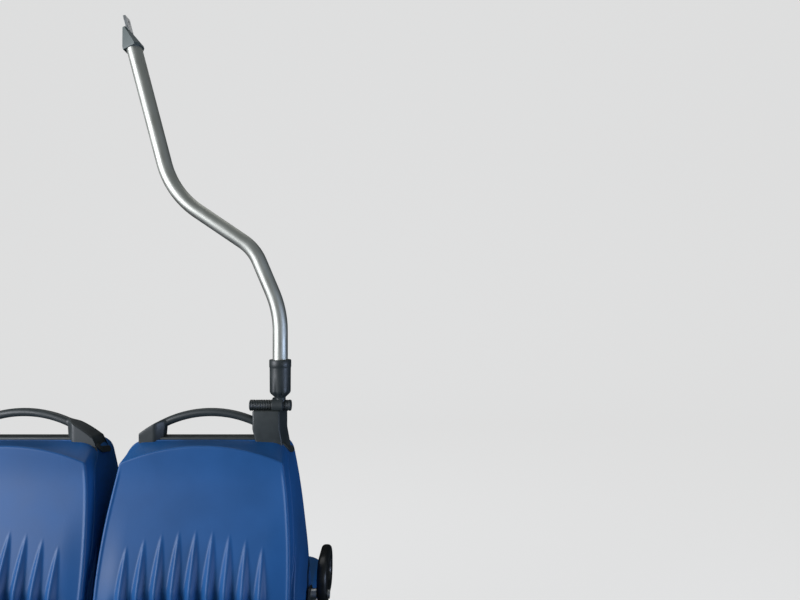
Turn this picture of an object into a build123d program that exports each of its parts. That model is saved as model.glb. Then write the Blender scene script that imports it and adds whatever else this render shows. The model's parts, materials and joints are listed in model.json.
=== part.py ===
from build123d import *
import os
from math import cos, radians, sin, sqrt, tan

# A double passenger seat of a city bus: two moulded plastic seats side by side on a steel under-frame,
# with a grab handle on each back, a bent stanchion up to the ceiling rail and a tip-up loop armrest.
# Millimetres. X runs from the side wall to the aisle, Y the way the seats face, Z up.
# The origin is on the floor, at the centre of the leg's foot plate.
# Sizes that end in _y are measured from the rear face of the backs near their tops, the panel plane.

# Places of the two seats
seat_pitch = 450.0            # centre of one seat to centre of the next
aisle_seat_x = -80.0          # centre of the aisle seat, measured from the leg
panel_plane_y = -220.0        # panel plane, measured from the leg
wall_gap = 26.0               # side of the window seat to the side wall

# Outline of the seats from behind
seat_width = 438.0            # full width of the moulded shell
panel_inset = 6.0             # rear panel narrower than the shell, each side
back_top_z = 920.0            # flat top that the handle stands on
lean_corner_z = 736.5         # the sides turn inward about this height
side_lean_deg = 10.3          # lean of the sides above it
side_radius = 1400.0          # long curve of the sides
shoulder_radius = 45.0

# Rear panel
ridge_peak_z = 916.0          # crown of the arched ridge
ridge_end_z = 880.0           # the ridge at the sides
cap_base_z = 870.0            # the slab of the panel meets its cap here
cap_depth = 60.0              # ridge to the handle, front to back
panel_thickness = 28.0
panel_knee_z = 844.0          # above this height the panel stands upright
panel_slope_deg = 19.5        # below it the panel runs rearward by this angle
panel_foot_z = 585.0          # and below this height it is upright again
panel_knee_radius = 140.0
panel_foot_radius = 180.0
panel_bottom_z = 395.0
panel_bottom_radius = 20.0
panel_edge_radius = 9.0

# Flutes of the rear panel
flute_count = 9
flute_pitch = 38.5
flute_radius = 12.0
flute_start_z = 730.0
flute_slope_deg = 12.0        # less than the panel's own slope, so the flutes deepen downward
flute_runout_z = 455.0        # the flutes leave the panel again below this height
flute_runout_deg = 35.0
flute_bend_radius = 60.0

# Back shell with its side wings
wing_top_y = 122.0            # front edge of the wings at the top
wing_waist_y = 146.0
wing_waist_z = 699.0
wing_slope_deg = 26.7         # the wings run forward by this angle below the waist
wing_waist_radius = 180.0
wing_thickness = 24.0
wing_edge_radius = 9.0
scoop_top_y = 92.0            # face of the back between the wings, near its top
scoop_waist_y = 104.0
scoop_bottom_y = 142.0        # the same face where it meets the cushion
scoop_top_z = 888.0
scoop_corner_radius = 22.0

# Cushion pans
seam_z = 430.0                # the back shell stands on the pan at this height
pan_bottom_z = 385.0
pan_front_y = 552.0
pan_front_radius = 24.0
pan_nose_radius = 18.0
bolster_z = 449.0             # side bolsters and front edge of the cushion
bolster_width = 30.0
dish_z = 424.0                # lowest line of the cushion
dish_low_y = 310.0
dish_front_y = 505.0
dish_front_z = 441.0
dish_radius = 300.0
dish_front_radius = 60.0
pan_corner_radius = 60.0
pan_skin = 12.0               # walls and top of the pan around its hollow underside
pan_boss_width = 54.0         # solid bands of the pan that stand on the rails

# Grab handles
handle_half_width = 168.0
strip_thickness = 5.0
strip_depth = 36.0
bow_diameter = 20.0
bow_top_z = 994.5
bow_radius = 255.0            # of the bow's centre line
bow_centre_x = 5.0
slot_start_x = -100.0
slot_end_x = 116.0
end_block_depth = 28.0
tongue_width = 36.0
tongue_thickness = 5.0
tongue_turn_deg = 76.0        # how far the tongue follows the round shoulder

# Block, ribbed bar, clamp, socket and stanchion of the aisle seat
block_start_x = 104.0
block_end_x = 168.0
block_top_z = 990.0
block_flare = 14.0            # the block's outer side leans outward by this much from rear to front
bar_diameter = 22.0
bar_z = 999.0
bar_start_x = 93.0
bar_length = 99.0
bar_rib_pitch = 5.5
bar_rib_width = 3.0
bar_rib_depth = 1.4
clamp_start_x = 146.0
clamp_width = 34.0
clamp_outer_radius = 19.5
clamp_top_z = 1014.0
fit_gap = 0.3                 # room between round pieces that sit in one another
tube_x = 168.0                # axis of the stanchion's lower end, from the seat's centre
tube_diameter = 36.0
tube_foot_z = 1050.0
socket_diameter = 50.0
socket_neck_diameter = 31.0
socket_taper_length = 12.0
socket_top_z = 1110.0
socket_lip = 2.0
tube_bends = [                # x from the seat's centre, z, radius of the bend
    (168.0, 1226.0, 240.0),
    (103.0, 1375.0, 110.0),
    (-94.0, 1508.0, 200.0),
]
tube_top_x = -188.0
tube_top_z = 1868.0
collar_length = 52.0
collar_diameter = 50.0
collar_top_diameter = 26.0
collar_inset = 26.0           # how far the tube reaches into the collar
tab_thickness = 6.0
tab_width = 26.0
tab_length = 40.0
tab_hole_diameter = 9.0
tab_hole_setback = 13.0

# Under-frame
cross_tube_side = 40.0
rail_height = 12.0
rail_width = 40.0
rail_offset = 130.0           # rails each side of a seat's centre
rail_overhang = 30.0
rear_tube_y = 60.0
front_tube_y = 380.0
head_beam_height = 40.0
head_beam_width = 50.0
head_beam_overhang = 30.0
post_side = 60.0
post_corner_radius = 6.0
gusset_thickness = 8.0
gusset_leg = 80.0
foot_plate_length = 220.0
foot_plate_width = 140.0
foot_plate_thickness = 8.0
foot_plate_corner = 12.0
foot_hole_spacing_x = 100.0
foot_hole_spacing_y = 180.0
fixing_hole_diameter = 11.0
wall_plate_thickness = 6.0
wall_plate_height = 90.0
wall_plate_overhang = 25.0
wall_hole_spacing_y = 240.0
wall_hole_spacing_z = 60.0

# Loop armrest on the aisle side
loop_inner_x = 244.0          # its inner face, from the aisle seat's centre
loop_thickness = 27.0
loop_centre_y = 232.0
loop_centre_z = 533.0
loop_length = 175.0
loop_height = 134.0
loop_rim = 34.0
loop_corner_radius = 60.0
loop_edge_radius = 9.0
pivot_y = 163.0
pivot_z = 505.0
pivot_diameter = 12.0
pivot_shoulder_diameter = 26.0
pivot_head_diameter = 22.0
pivot_head_thickness = 5.0
pivot_side_gap = 1.0
pivot_fit = 0.1               # radial room of the pivot in the armrest
bracket_gap = 5.0             # bracket plate to the side of the seat
bracket_thickness = 6.0
stop_diameter = 10.0
stop_y = 214.0
stop_gap = 0.4

# Sizes that follow from the ones above
shell_half = seat_width / 2
panel_half = shell_half - panel_inset
window_seat_x = aisle_seat_x - seat_pitch
wall_x = window_seat_x - shell_half - wall_gap
rail_bottom_z = pan_bottom_z - rail_height
cross_tube_z = rail_bottom_z - cross_tube_side / 2
head_beam_top_z = cross_tube_z - cross_tube_side / 2
tube_y = cap_depth + strip_depth / 2
bracket_x = shell_half + bracket_gap
panel_foot_y = -(panel_knee_z - panel_foot_z) * tan(radians(panel_slope_deg))
wing_foot_y = wing_waist_y + (wing_waist_z - seam_z) * tan(radians(wing_slope_deg))
far = 3000.0                  # longer than the whole seat, for cutters


def outline(rows):
    """A flat face from rows of corner: first axis, second axis, radius of the corner."""
    points = [(row[0], row[1]) for row in rows]
    radii = [row[2] for row in rows]
    return make_face(FilletPolyline(*points, radius=radii, close=True))


def across(face, half_width):
    """A prism across the seat, from a face drawn in Y and Z."""
    return extrude(Plane.YZ * face, amount=half_width, both=True)


def along(face, start_y, end_y):
    """A prism along the seat, from a face drawn in X and Z."""
    return Pos(0, end_y, 0) * extrude(Plane.XZ * face, amount=end_y - start_y)


def box_between(low, high):
    """A box from its lowest to its highest corner."""
    size = [high[i] - low[i] for i in range(3)]
    return Pos(*low) * Box(*size, align=(Align.MIN, Align.MIN, Align.MIN))


def rod_x(diameter, start_x, end_x, y, z):
    """A round bar along X."""
    turned = Rot(0, 90, 0) * Cylinder(diameter / 2, end_x - start_x, align=(Align.CENTER, Align.CENTER, Align.MIN))
    return Pos(start_x, y, z) * turned


def lean_in(z):
    """How far the leaning side stands in from the widest place at a height."""
    return (z - lean_corner_z) * tan(radians(side_lean_deg))


def seat_face(half, top_z, bottom_z, top_radius):
    """The outline of a seat from behind: upright sides that curve inward to rounded shoulders."""
    top_half = half - lean_in(top_z)
    return outline([
        (half, bottom_z, 0),
        (half, lean_corner_z, side_radius),
        (top_half, top_z, top_radius),
        (-top_half, top_z, top_radius),
        (-half, lean_corner_z, side_radius),
        (-half, bottom_z, 0),
    ])


# Centre of the round shoulder, seen from behind
shoulder_reach = shoulder_radius * tan(radians(90 - side_lean_deg) / 2)
shoulder_x = shell_half - lean_in(back_top_z) - shoulder_reach
shoulder_z = back_top_z - shoulder_radius


def panel_rear_rows(offset):
    """Corners of the panel's rear surface from top to bottom, moved forward by an offset."""
    return [
        (offset, panel_knee_z, panel_knee_radius),
        (panel_foot_y + offset, panel_foot_z, panel_foot_radius),
    ]


def panel_cap():
    """The top of the panel: ruled surfaces from the arched ridge to the shell's own outline."""
    base_half = panel_half - lean_in(cap_base_z)
    ridge_half = panel_half - lean_in(ridge_end_z)
    arch_radius = (ridge_half ** 2 + (ridge_peak_z - ridge_end_z) ** 2) / (2 * (ridge_peak_z - ridge_end_z))

    def arch_z(x):
        return ridge_peak_z - arch_radius + sqrt(arch_radius ** 2 - x ** 2)

    split = shoulder_x
    middle = (split + ridge_half) / 2
    ridge = Wire([
        Line((-base_half, cap_base_z), (base_half, cap_base_z)),
        Line((base_half, cap_base_z), (ridge_half, ridge_end_z)),
        ThreePointArc((ridge_half, ridge_end_z), (middle, arch_z(middle)), (split, arch_z(split))),
        ThreePointArc((split, arch_z(split)), (0, ridge_peak_z), (-split, arch_z(split))),
        ThreePointArc((-split, arch_z(split)), (-middle, arch_z(middle)), (-ridge_half, ridge_end_z)),
        Line((-ridge_half, ridge_end_z), (-base_half, cap_base_z)),
    ])
    lean = radians(side_lean_deg)
    side_x = shoulder_x + shoulder_radius * cos(lean)
    side_z = shoulder_z + shoulder_radius * sin(lean)
    half_turn = (lean + radians(90)) / 2
    bend = (shoulder_x + shoulder_radius * cos(half_turn), shoulder_z + shoulder_radius * sin(half_turn))
    foot_half = shell_half - lean_in(cap_base_z)
    crest = Wire([
        Line((-foot_half, cap_base_z), (foot_half, cap_base_z)),
        Line((foot_half, cap_base_z), (side_x, side_z)),
        ThreePointArc((side_x, side_z), bend, (shoulder_x, back_top_z)),
        Line((shoulder_x, back_top_z), (-shoulder_x, back_top_z)),
        ThreePointArc((-shoulder_x, back_top_z), (-bend[0], bend[1]), (-side_x, side_z)),
        Line((-side_x, side_z), (-foot_half, cap_base_z)),
    ])
    rear = Plane.XZ * make_face(ridge)
    front = Pos(0, cap_depth, 0) * (Plane.XZ * make_face(crest))
    return loft([rear, front], ruled=True)


def flute_cutter():
    """One long round cutter: it enters the panel's slope, follows its foot and runs out near the bottom."""
    lead_in = 80.0
    panel_at_start = -(panel_knee_z - flute_start_z) * tan(radians(panel_slope_deg))
    start_y = panel_at_start - flute_radius
    foot_y = start_y - (flute_start_z - panel_foot_z) * tan(radians(flute_slope_deg))
    path = FilletPolyline(
        (0, start_y + lead_in * tan(radians(flute_slope_deg)), flute_start_z + lead_in),
        (0, foot_y, panel_foot_z),
        (0, foot_y, flute_runout_z),
        (0, foot_y - lead_in * tan(radians(flute_runout_deg)), flute_runout_z - lead_in),
        radius=flute_bend_radius,
    )
    section = Plane(path @ 0, z_dir=path % 0) * Circle(flute_radius)
    return sweep(section, path=path)


def rear_panel():
    """The fluted panel behind a back, with its arched ridge."""
    slab_face = outline(
        [(0, cap_base_z, 0)]
        + panel_rear_rows(0)
        + [(panel_foot_y, panel_bottom_z, panel_bottom_radius),
           (panel_foot_y + panel_thickness, panel_bottom_z, 0)]
        + panel_rear_rows(panel_thickness)[::-1]
        + [(panel_thickness, cap_base_z, 0)]
    )
    slab = across(slab_face, shell_half)
    slab = slab & along(seat_face(panel_half, back_top_z, panel_bottom_z, 0), -far, far)
    rims = [
        edge for edge in slab.edges()
        if abs(edge.center().X) > panel_half - lean_in(ridge_end_z) - 1
        and edge.length > 2 * panel_thickness
        and edge.center().Y < rim_limit_y(edge.center().Z)
    ]
    slab = fillet(rims, panel_edge_radius)
    panel = slab + panel_cap()
    cutter = flute_cutter()
    for i in range(flute_count):
        panel = panel - Pos((i - (flute_count - 1) / 2) * flute_pitch, 0, 0) * cutter
    return panel


def rim_limit_y(z):
    """Halfway through the panel at a height, which tells its rear rim from its front rim."""
    run = min(max(panel_knee_z - z, 0), panel_knee_z - panel_foot_z)
    return panel_thickness / 2 - run * tan(radians(panel_slope_deg))


def back_shell():
    """The moulded back: a scooped face between two side wings, round shoulders, flat top."""
    side_face = outline(
        [(cap_depth, back_top_z, 0), (cap_depth, cap_base_z, 0), (panel_thickness, cap_base_z, 0)]
        + panel_rear_rows(panel_thickness)
        + [(panel_foot_y + panel_thickness, seam_z, 0),
           (wing_foot_y, seam_z, 0),
           (wing_waist_y, wing_waist_z, wing_waist_radius),
           (wing_top_y, back_top_z, shoulder_radius / 2)]
    )
    shell = across(side_face, shell_half)
    shell = shell & along(seat_face(shell_half, back_top_z, seam_z, shoulder_radius), -far, far)
    scoop_face = outline([
        (scoop_bottom_y, seam_z - wing_thickness, 0),
        (scoop_waist_y, wing_waist_z, wing_waist_radius),
        (scoop_top_y, scoop_top_z, scoop_corner_radius),
        (wing_top_y + wing_thickness, scoop_top_z + wing_thickness, 0),
        (far / 2, scoop_top_z + wing_thickness, 0),
        (far / 2, seam_z - wing_thickness, 0),
    ])
    inner_half = shell_half - wing_thickness
    scoop = across(scoop_face, shell_half)
    scoop = scoop & along(seat_face(inner_half, far, seam_z - wing_thickness, 0), -far, far)
    return shell - scoop


def cushion_pan():
    """The moulded cushion: a dished top with side bolsters, a round nose and a hollow underside."""
    rear_y = panel_foot_y + panel_thickness
    wing_at_bolster_y = wing_foot_y - (bolster_z - seam_z) * tan(radians(wing_slope_deg))
    side_face = outline([
        (rear_y, seam_z, 0),
        (rear_y, pan_bottom_z + pan_skin, 0),
        (rear_y + pan_skin, pan_bottom_z, 0),
        (pan_front_y - pan_nose_radius, pan_bottom_z, 0),
        (pan_front_y, pan_bottom_z + pan_nose_radius, 0),
        (pan_front_y, bolster_z, pan_front_radius),
        (wing_at_bolster_y, bolster_z, 0),
        (wing_foot_y, seam_z, 0),
    ])
    pan = across(side_face, shell_half)
    plan = outline([
        (-shell_half, rear_y, 0),
        (shell_half, rear_y, 0),
        (shell_half, pan_front_y, pan_corner_radius),
        (-shell_half, pan_front_y, pan_corner_radius),
    ])
    pan = pan & extrude(plan, amount=back_top_z)
    dish_face = outline([
        (scoop_bottom_y, seam_z, 0),
        (dish_low_y, dish_z, dish_radius),
        (dish_front_y, dish_front_z, dish_front_radius),
        (pan_front_y + pan_skin, bolster_z + pan_skin, 0),
        (scoop_bottom_y, bolster_z + pan_skin, 0),
    ])
    pan = pan - across(dish_face, shell_half - bolster_width)
    hollow_top = dish_z - pan_skin
    boss_edges = [
        (-shell_half + pan_skin, -rail_offset - pan_boss_width / 2),
        (-rail_offset + pan_boss_width / 2, rail_offset - pan_boss_width / 2),
        (rail_offset + pan_boss_width / 2, shell_half - pan_skin),
    ]
    for start_x, end_x in boss_edges:
        low = (start_x, rear_y + 2 * pan_skin, pan_bottom_z)
        high = (end_x, pan_front_y - pan_corner_radius, hollow_top)
        pan = pan - box_between(low, high)
    return pan


def bow_height(x, radius):
    """Height of an arc of the bow over the seat."""
    centre_z = bow_top_z - bow_diameter / 2 - bow_radius
    return centre_z + sqrt(radius ** 2 - (x - bow_centre_x) ** 2)


def end_wedge(outer_x, inner_x):
    """The solid end of a bow: everything under its outer arc from one place to another."""
    outer_radius = bow_radius + bow_diameter / 2
    middle_x = (outer_x + inner_x) / 2
    edges = [
        ThreePointArc(
            (inner_x, bow_height(inner_x, outer_radius)),
            (middle_x, bow_height(middle_x, outer_radius)),
            (outer_x, bow_height(outer_x, outer_radius)),
        ),
        Line((outer_x, bow_height(outer_x, outer_radius)), (outer_x, shoulder_z)),
        Line((outer_x, shoulder_z), (inner_x, shoulder_z)),
        Line((inner_x, shoulder_z), (inner_x, bow_height(inner_x, outer_radius))),
    ]
    start_y = tube_y - end_block_depth / 2
    return along(make_face(Wire(edges)), start_y, start_y + end_block_depth)


def tongue(side):
    """A curved lug that lies on the shoulder of the back, on one side."""
    turn = radians(tongue_turn_deg)
    outer = shoulder_radius + tongue_thickness

    def at(radius, angle):
        return (shoulder_x + radius * sin(angle), shoulder_z + radius * cos(angle))

    edges = [
        ThreePointArc(at(shoulder_radius, 0), at(shoulder_radius, turn / 2), at(shoulder_radius, turn)),
        Line(at(shoulder_radius, turn), at(outer, turn)),
        ThreePointArc(at(outer, turn), at(outer, turn / 2), at(outer, 0)),
        Line(at(outer, 0), at(shoulder_radius, 0)),
    ]
    start_y = tube_y - tongue_width / 2
    lug = along(make_face(Wire(edges)), start_y, start_y + tongue_width)
    return lug if side > 0 else mirror(lug, about=Plane.YZ)


def bar_cutter():
    """The room that the ribbed bar and its clamp take from the block below them."""
    bed = rod_x(bar_diameter + 2 * fit_gap, bar_start_x - 1, bar_start_x + bar_length + 1, tube_y, bar_z)
    clamp_end_x = clamp_start_x + clamp_width
    notch = rod_x(2 * (clamp_outer_radius + fit_gap), clamp_start_x - 1, clamp_end_x + 1, tube_y, bar_z)
    return bed + notch


def tall_block():
    """The end block of the aisle handle, which carries the ribbed bar."""
    flare = outline([
        (block_start_x, cap_depth, 4),
        (block_end_x, cap_depth, 4),
        (block_end_x + block_flare, cap_depth + strip_depth, 4),
        (block_start_x, cap_depth + strip_depth, 4),
    ])
    block = Pos(0, 0, shoulder_z) * extrude(flare, amount=block_top_z - shoulder_z)
    return block - bar_cutter()


def handle(with_block):
    """A grab handle: a strip on the back's flat top, a bow over it and a lug on each shoulder."""
    outer_x = handle_half_width
    bow_end_x = block_start_x + bow_diameter / 2 if with_block else slot_end_x + bow_diameter / 2
    start = (-outer_x + bow_diameter / 2, bow_height(-outer_x + bow_diameter / 2, bow_radius))
    end = (bow_end_x, bow_height(bow_end_x, bow_radius))
    crown = (bow_centre_x, bow_height(bow_centre_x, bow_radius))
    path = ThreePointArc((start[0], tube_y, start[1]), (crown[0], tube_y, crown[1]), (end[0], tube_y, end[1]))
    section = Plane(path @ 0, z_dir=path % 0) * Circle(bow_diameter / 2)
    bow = sweep(section, path=path)
    strip = box_between(
        (-outer_x, cap_depth, back_top_z), (outer_x, cap_depth + strip_depth, back_top_z + strip_thickness))
    body = strip + bow + end_wedge(-outer_x, slot_start_x) + tongue(-1) + tongue(1)
    if with_block:
        body = body + tall_block()
    else:
        body = body + end_wedge(outer_x, slot_end_x)
    shell_room = along(seat_face(shell_half, back_top_z, seam_z, shoulder_radius), 0, far / 10)
    return body - shell_room


def ribbed_bar():
    """The short round grip across the block, ribbed except where the clamp holds it."""
    core = bar_diameter / 2 - bar_rib_depth
    bar = rod_x(2 * core, bar_start_x, bar_start_x + bar_length, tube_y, bar_z)
    clamp_end_x = clamp_start_x + clamp_width
    bar = bar + rod_x(bar_diameter, clamp_start_x, clamp_end_x, tube_y, bar_z)
    count = int(bar_length // bar_rib_pitch)
    for i in range(count):
        start_x = bar_start_x + bar_rib_width + i * bar_rib_pitch
        end_x = start_x + bar_rib_width
        clear = end_x < clamp_start_x or start_x > clamp_end_x
        if clear:
            bar = bar + rod_x(bar_diameter, start_x, end_x, tube_y, bar_z)
    return bar


def stanchion_clamp():
    """The clamp round the ribbed bar, with the seat of the socket on top."""
    clamp_end_x = clamp_start_x + clamp_width
    ring = rod_x(2 * clamp_outer_radius, clamp_start_x, clamp_end_x, tube_y, bar_z)
    neck = Pos(tube_x, tube_y, bar_z) * Cylinder(
        socket_neck_diameter / 2, clamp_top_z - bar_z, align=(Align.CENTER, Align.CENTER, Align.MIN))
    top = box_between((0, 0, clamp_top_z), (far, far, far))
    bore = rod_x(bar_diameter + 2 * fit_gap, clamp_start_x - 1, far / 10, tube_y, bar_z)
    return ring + neck - top - bore


def socket():
    """The tapered plastic socket that takes the stanchion's lower end."""
    neck = socket_neck_diameter / 2
    wide = socket_diameter / 2
    bore = tube_diameter / 2 + fit_gap
    face = outline([
        (0, clamp_top_z, 0),
        (neck, clamp_top_z, 0),
        (wide, clamp_top_z + socket_taper_length, 6),
        (wide, socket_top_z - 3 * socket_lip, 0),
        (wide + socket_lip, socket_top_z - 2 * socket_lip, 0),
        (wide + socket_lip, socket_top_z, 1),
        (bore, socket_top_z, 0),
        (bore, tube_foot_z, 0),
        (0, tube_foot_z, 0),
    ])
    return Pos(tube_x, tube_y, 0) * revolve(Plane.XZ * face, axis=Axis.Z)


def stanchion_tube():
    """The bent stainless tube from the socket to the ceiling collar, all in one upright plane."""
    points = [(tube_x, tube_y, tube_foot_z)]
    points += [(x, tube_y, z) for x, z, radius in tube_bends]
    points += [(tube_top_x, tube_y, tube_top_z)]
    path = FilletPolyline(*points, radius=[radius for x, z, radius in tube_bends])
    section = Plane(path @ 0, z_dir=path % 0) * Circle(tube_diameter / 2)
    return sweep(section, path=path)


def ceiling_plane():
    """The plane across the tube's upper end, its normal along the tube."""
    last_x, last_z = tube_bends[-1][0], tube_bends[-1][1]
    direction = (tube_top_x - last_x, 0, tube_top_z - last_z)
    return Plane((tube_top_x, tube_y, tube_top_z), x_dir=(0, 1, 0), z_dir=direction)


def ceiling_collar():
    """The flared bell that holds the tube's upper end."""
    wide = collar_diameter / 2
    bore = tube_diameter / 2 + fit_gap
    face = outline([
        (0, 0, 0),
        (bore, 0, 0),
        (bore, -collar_inset, 0),
        (wide, -collar_inset, 0),
        (wide, -collar_inset / 2, 12),
        (collar_top_diameter / 2, collar_length - collar_inset, 0),
        (0, collar_length - collar_inset, 0),
    ])
    return ceiling_plane() * revolve(Plane.XZ * face, axis=Axis.Z)


def ceiling_tab():
    """The flat tab on the collar, drilled for the bolt into the ceiling rail."""
    base = collar_length - collar_inset
    plate = Box(tab_width, tab_thickness, tab_length, align=(Align.CENTER, Align.CENTER, Align.MIN))
    hole_z = tab_length - tab_hole_setback
    hole = Pos(0, 0, hole_z) * (Rot(90, 0, 0) * Cylinder(tab_hole_diameter / 2, 2 * tab_thickness))
    return ceiling_plane() * (Pos(0, 0, base) * (plate - hole))


def cross_tube(centre_y):
    """A square tube from the wall plate to the armrest bracket."""
    half = cross_tube_side / 2
    low = (wall_x + wall_plate_thickness, panel_plane_y + centre_y - half, cross_tube_z - half)
    high = (aisle_seat_x + bracket_x, panel_plane_y + centre_y + half, cross_tube_z + half)
    return box_between(low, high)


def rail(offset):
    """A flat rail from the rear cross tube to the front one, under a pan's boss."""
    half = rail_width / 2
    low = (offset - half, rear_tube_y - rail_overhang, rail_bottom_z)
    high = (offset + half, front_tube_y + rail_overhang, pan_bottom_z)
    return box_between(low, high)


def head_beam():
    """The beam along the seat that joins the leg to both cross tubes."""
    half = head_beam_width / 2
    start_y = panel_plane_y + rear_tube_y - head_beam_overhang
    end_y = panel_plane_y + front_tube_y + head_beam_overhang
    return box_between((-half, start_y, head_beam_top_z - head_beam_height), (half, end_y, head_beam_top_z))


def leg_post():
    """The square post of the leg with its two gussets under the head beam."""
    top_z = head_beam_top_z - head_beam_height
    section = RectangleRounded(post_side, post_side, post_corner_radius)
    post = Pos(0, 0, foot_plate_thickness) * extrude(section, amount=top_z - foot_plate_thickness)
    reach = post_side / 2 + gusset_leg
    web = outline([(-reach, top_z, 0), (reach, top_z, 0), (0, top_z - reach, 0)])
    return post + across(web, gusset_thickness / 2)


def hole_grid(spacing_a, spacing_b, diameter, depth):
    """Four round cutters on a rectangle, drawn around the origin along Z."""
    places = [(a * spacing_a / 2, b * spacing_b / 2) for a in (-1, 1) for b in (-1, 1)]
    return [Pos(a, b, 0) * Cylinder(diameter / 2, depth) for a, b in places]


def foot_plate():
    """The plate that bolts to the floor."""
    section = RectangleRounded(foot_plate_width, foot_plate_length, foot_plate_corner)
    plate = extrude(section, amount=foot_plate_thickness)
    return plate - hole_grid(foot_hole_spacing_x, foot_hole_spacing_y, fixing_hole_diameter,
                             4 * foot_plate_thickness)


def wall_plate():
    """The plate that carries both cross tubes on the side wall."""
    half_z = wall_plate_height / 2
    start_y = panel_plane_y + rear_tube_y - cross_tube_side / 2 - wall_plate_overhang
    end_y = panel_plane_y + front_tube_y + cross_tube_side / 2 + wall_plate_overhang
    plate = box_between((wall_x, start_y, cross_tube_z - half_z),
                        (wall_x + wall_plate_thickness, end_y, cross_tube_z + half_z))
    middle_y = (start_y + end_y) / 2
    for cutter in hole_grid(wall_hole_spacing_z, wall_hole_spacing_y, fixing_hole_diameter,
                            4 * wall_plate_thickness):
        plate = plate - Pos(wall_x, middle_y, cross_tube_z) * (Rot(0, 90, 0) * cutter)
    return plate


def armrest_bracket():
    """The plate at the aisle end of the rear cross tube that carries the armrest's pivot and stop."""
    half = cross_tube_side / 2 + 2
    low_z = cross_tube_z - half
    face = outline([
        (rear_tube_y - half, low_z, 8),
        (rear_tube_y + half, low_z, 8),
        (stop_y + 12, loop_centre_z - loop_height / 2 - 20, 10),
        (stop_y + 12, loop_centre_z - loop_height / 2 + 6, 8),
        (pivot_y + 14, pivot_z + 18, 14),
        (pivot_y - 16, pivot_z + 18, 14),
        (rear_tube_y - half, cross_tube_z + half, 8),
    ])
    return Pos(bracket_x, 0, 0) * extrude(Plane.YZ * face, amount=bracket_thickness)


def armrest_pivot():
    """The shoulder pin that the armrest turns on."""
    start = bracket_x + bracket_thickness
    shoulder_end = loop_inner_x - pivot_side_gap
    head_start = loop_inner_x + loop_thickness + pivot_side_gap
    return (rod_x(pivot_shoulder_diameter, start, shoulder_end, pivot_y, pivot_z)
            + rod_x(pivot_diameter, start, head_start, pivot_y, pivot_z)
            + rod_x(pivot_head_diameter, head_start, head_start + pivot_head_thickness, pivot_y, pivot_z))


def armrest_stop():
    """The short pin under the loop that it rests on when it is down."""
    start = bracket_x + bracket_thickness
    stop_z = loop_centre_z - loop_height / 2 - stop_gap - stop_diameter / 2
    return rod_x(stop_diameter, start, loop_inner_x + loop_thickness - loop_edge_radius, stop_y, stop_z)


def armrest_loop():
    """The closed loop, with the bore for its pivot near the rear."""
    section = RectangleRounded(loop_length, loop_height, loop_corner_radius)
    opening = RectangleRounded(loop_length - 2 * loop_rim, loop_height - 2 * loop_rim,
                               loop_corner_radius - loop_rim)
    ring = extrude(Plane.YZ * (section - opening), amount=loop_thickness)
    ring = fillet(ring.edges().filter_by(lambda edge: edge.center().X < 0.01 or edge.center().X > loop_thickness - 0.01),
                  loop_edge_radius)
    ring = Pos(loop_inner_x, loop_centre_y, loop_centre_z) * ring
    return ring - rod_x(pivot_diameter + 2 * pivot_fit, loop_inner_x - 1, loop_inner_x + loop_thickness + 1,
                        pivot_y, pivot_z)


os.makedirs("parts", exist_ok=True)


def save(name, shape, seat_x=None):
    """Write one piece, moved from its seat's own axes to the part's if a seat is given."""
    if seat_x is not None:
        shape = Pos(seat_x, panel_plane_y, 0) * shape
    export_step(shape, f"parts/{name}.step")


# Pieces that both seats have: name of the seat, its centre, whether its handle carries the stanchion
for seat, seat_x, carries_stanchion in [("window_seat", window_seat_x, False), ("aisle_seat", aisle_seat_x, True)]:
    save(f"{seat}_rear_panel", rear_panel(), seat_x)
    save(f"{seat}_back_shell", back_shell(), seat_x)
    save(f"{seat}_cushion_pan", cushion_pan(), seat_x)
    save(f"{seat}_handle", handle(carries_stanchion), seat_x)
    save(f"{seat}_left_rail", rail(-rail_offset), seat_x)
    save(f"{seat}_right_rail", rail(rail_offset), seat_x)

# Pieces of the aisle seat alone
save("ribbed_bar", ribbed_bar(), aisle_seat_x)
save("stanchion_clamp", stanchion_clamp(), aisle_seat_x)
save("stanchion_socket", socket(), aisle_seat_x)
save("stanchion_tube", stanchion_tube(), aisle_seat_x)
save("ceiling_collar", ceiling_collar(), aisle_seat_x)
save("ceiling_tab", ceiling_tab(), aisle_seat_x)
save("armrest_bracket", armrest_bracket(), aisle_seat_x)
save("armrest_pivot", armrest_pivot(), aisle_seat_x)
save("armrest_stop", armrest_stop(), aisle_seat_x)
save("armrest_loop", armrest_loop(), aisle_seat_x)

# The under-frame
save("rear_cross_tube", cross_tube(rear_tube_y))
save("front_cross_tube", cross_tube(front_tube_y))
save("head_beam", head_beam())
save("leg_post", leg_post())
save("foot_plate", foot_plate())
save("wall_plate", wall_plate())
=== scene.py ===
"""Double passenger seat of a city bus: moulded seats, grab handles, bent stanchion and loop armrest."""
import json
from math import cos, pi, radians, sin, tan

import bpy
import numpy as np
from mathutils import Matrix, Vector


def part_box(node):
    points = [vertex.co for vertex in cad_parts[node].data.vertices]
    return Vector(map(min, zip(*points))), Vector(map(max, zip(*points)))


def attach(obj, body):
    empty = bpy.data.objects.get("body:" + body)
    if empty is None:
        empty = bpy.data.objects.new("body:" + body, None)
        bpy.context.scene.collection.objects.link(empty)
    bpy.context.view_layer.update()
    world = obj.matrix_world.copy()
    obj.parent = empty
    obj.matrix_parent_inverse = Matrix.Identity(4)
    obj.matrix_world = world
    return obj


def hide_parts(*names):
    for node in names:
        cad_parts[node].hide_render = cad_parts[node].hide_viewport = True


bl_info = {
    "name": "Bus double seat",
    "version": (1, 0, 0),
    "blender": (4, 5, 0),
    "location": "View3D > Sidebar > Bus seat",
    "description": "Dresses the packed frame of a double bus seat with moulded plastic, steel and rubber",
    "category": "Object",
}

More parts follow.
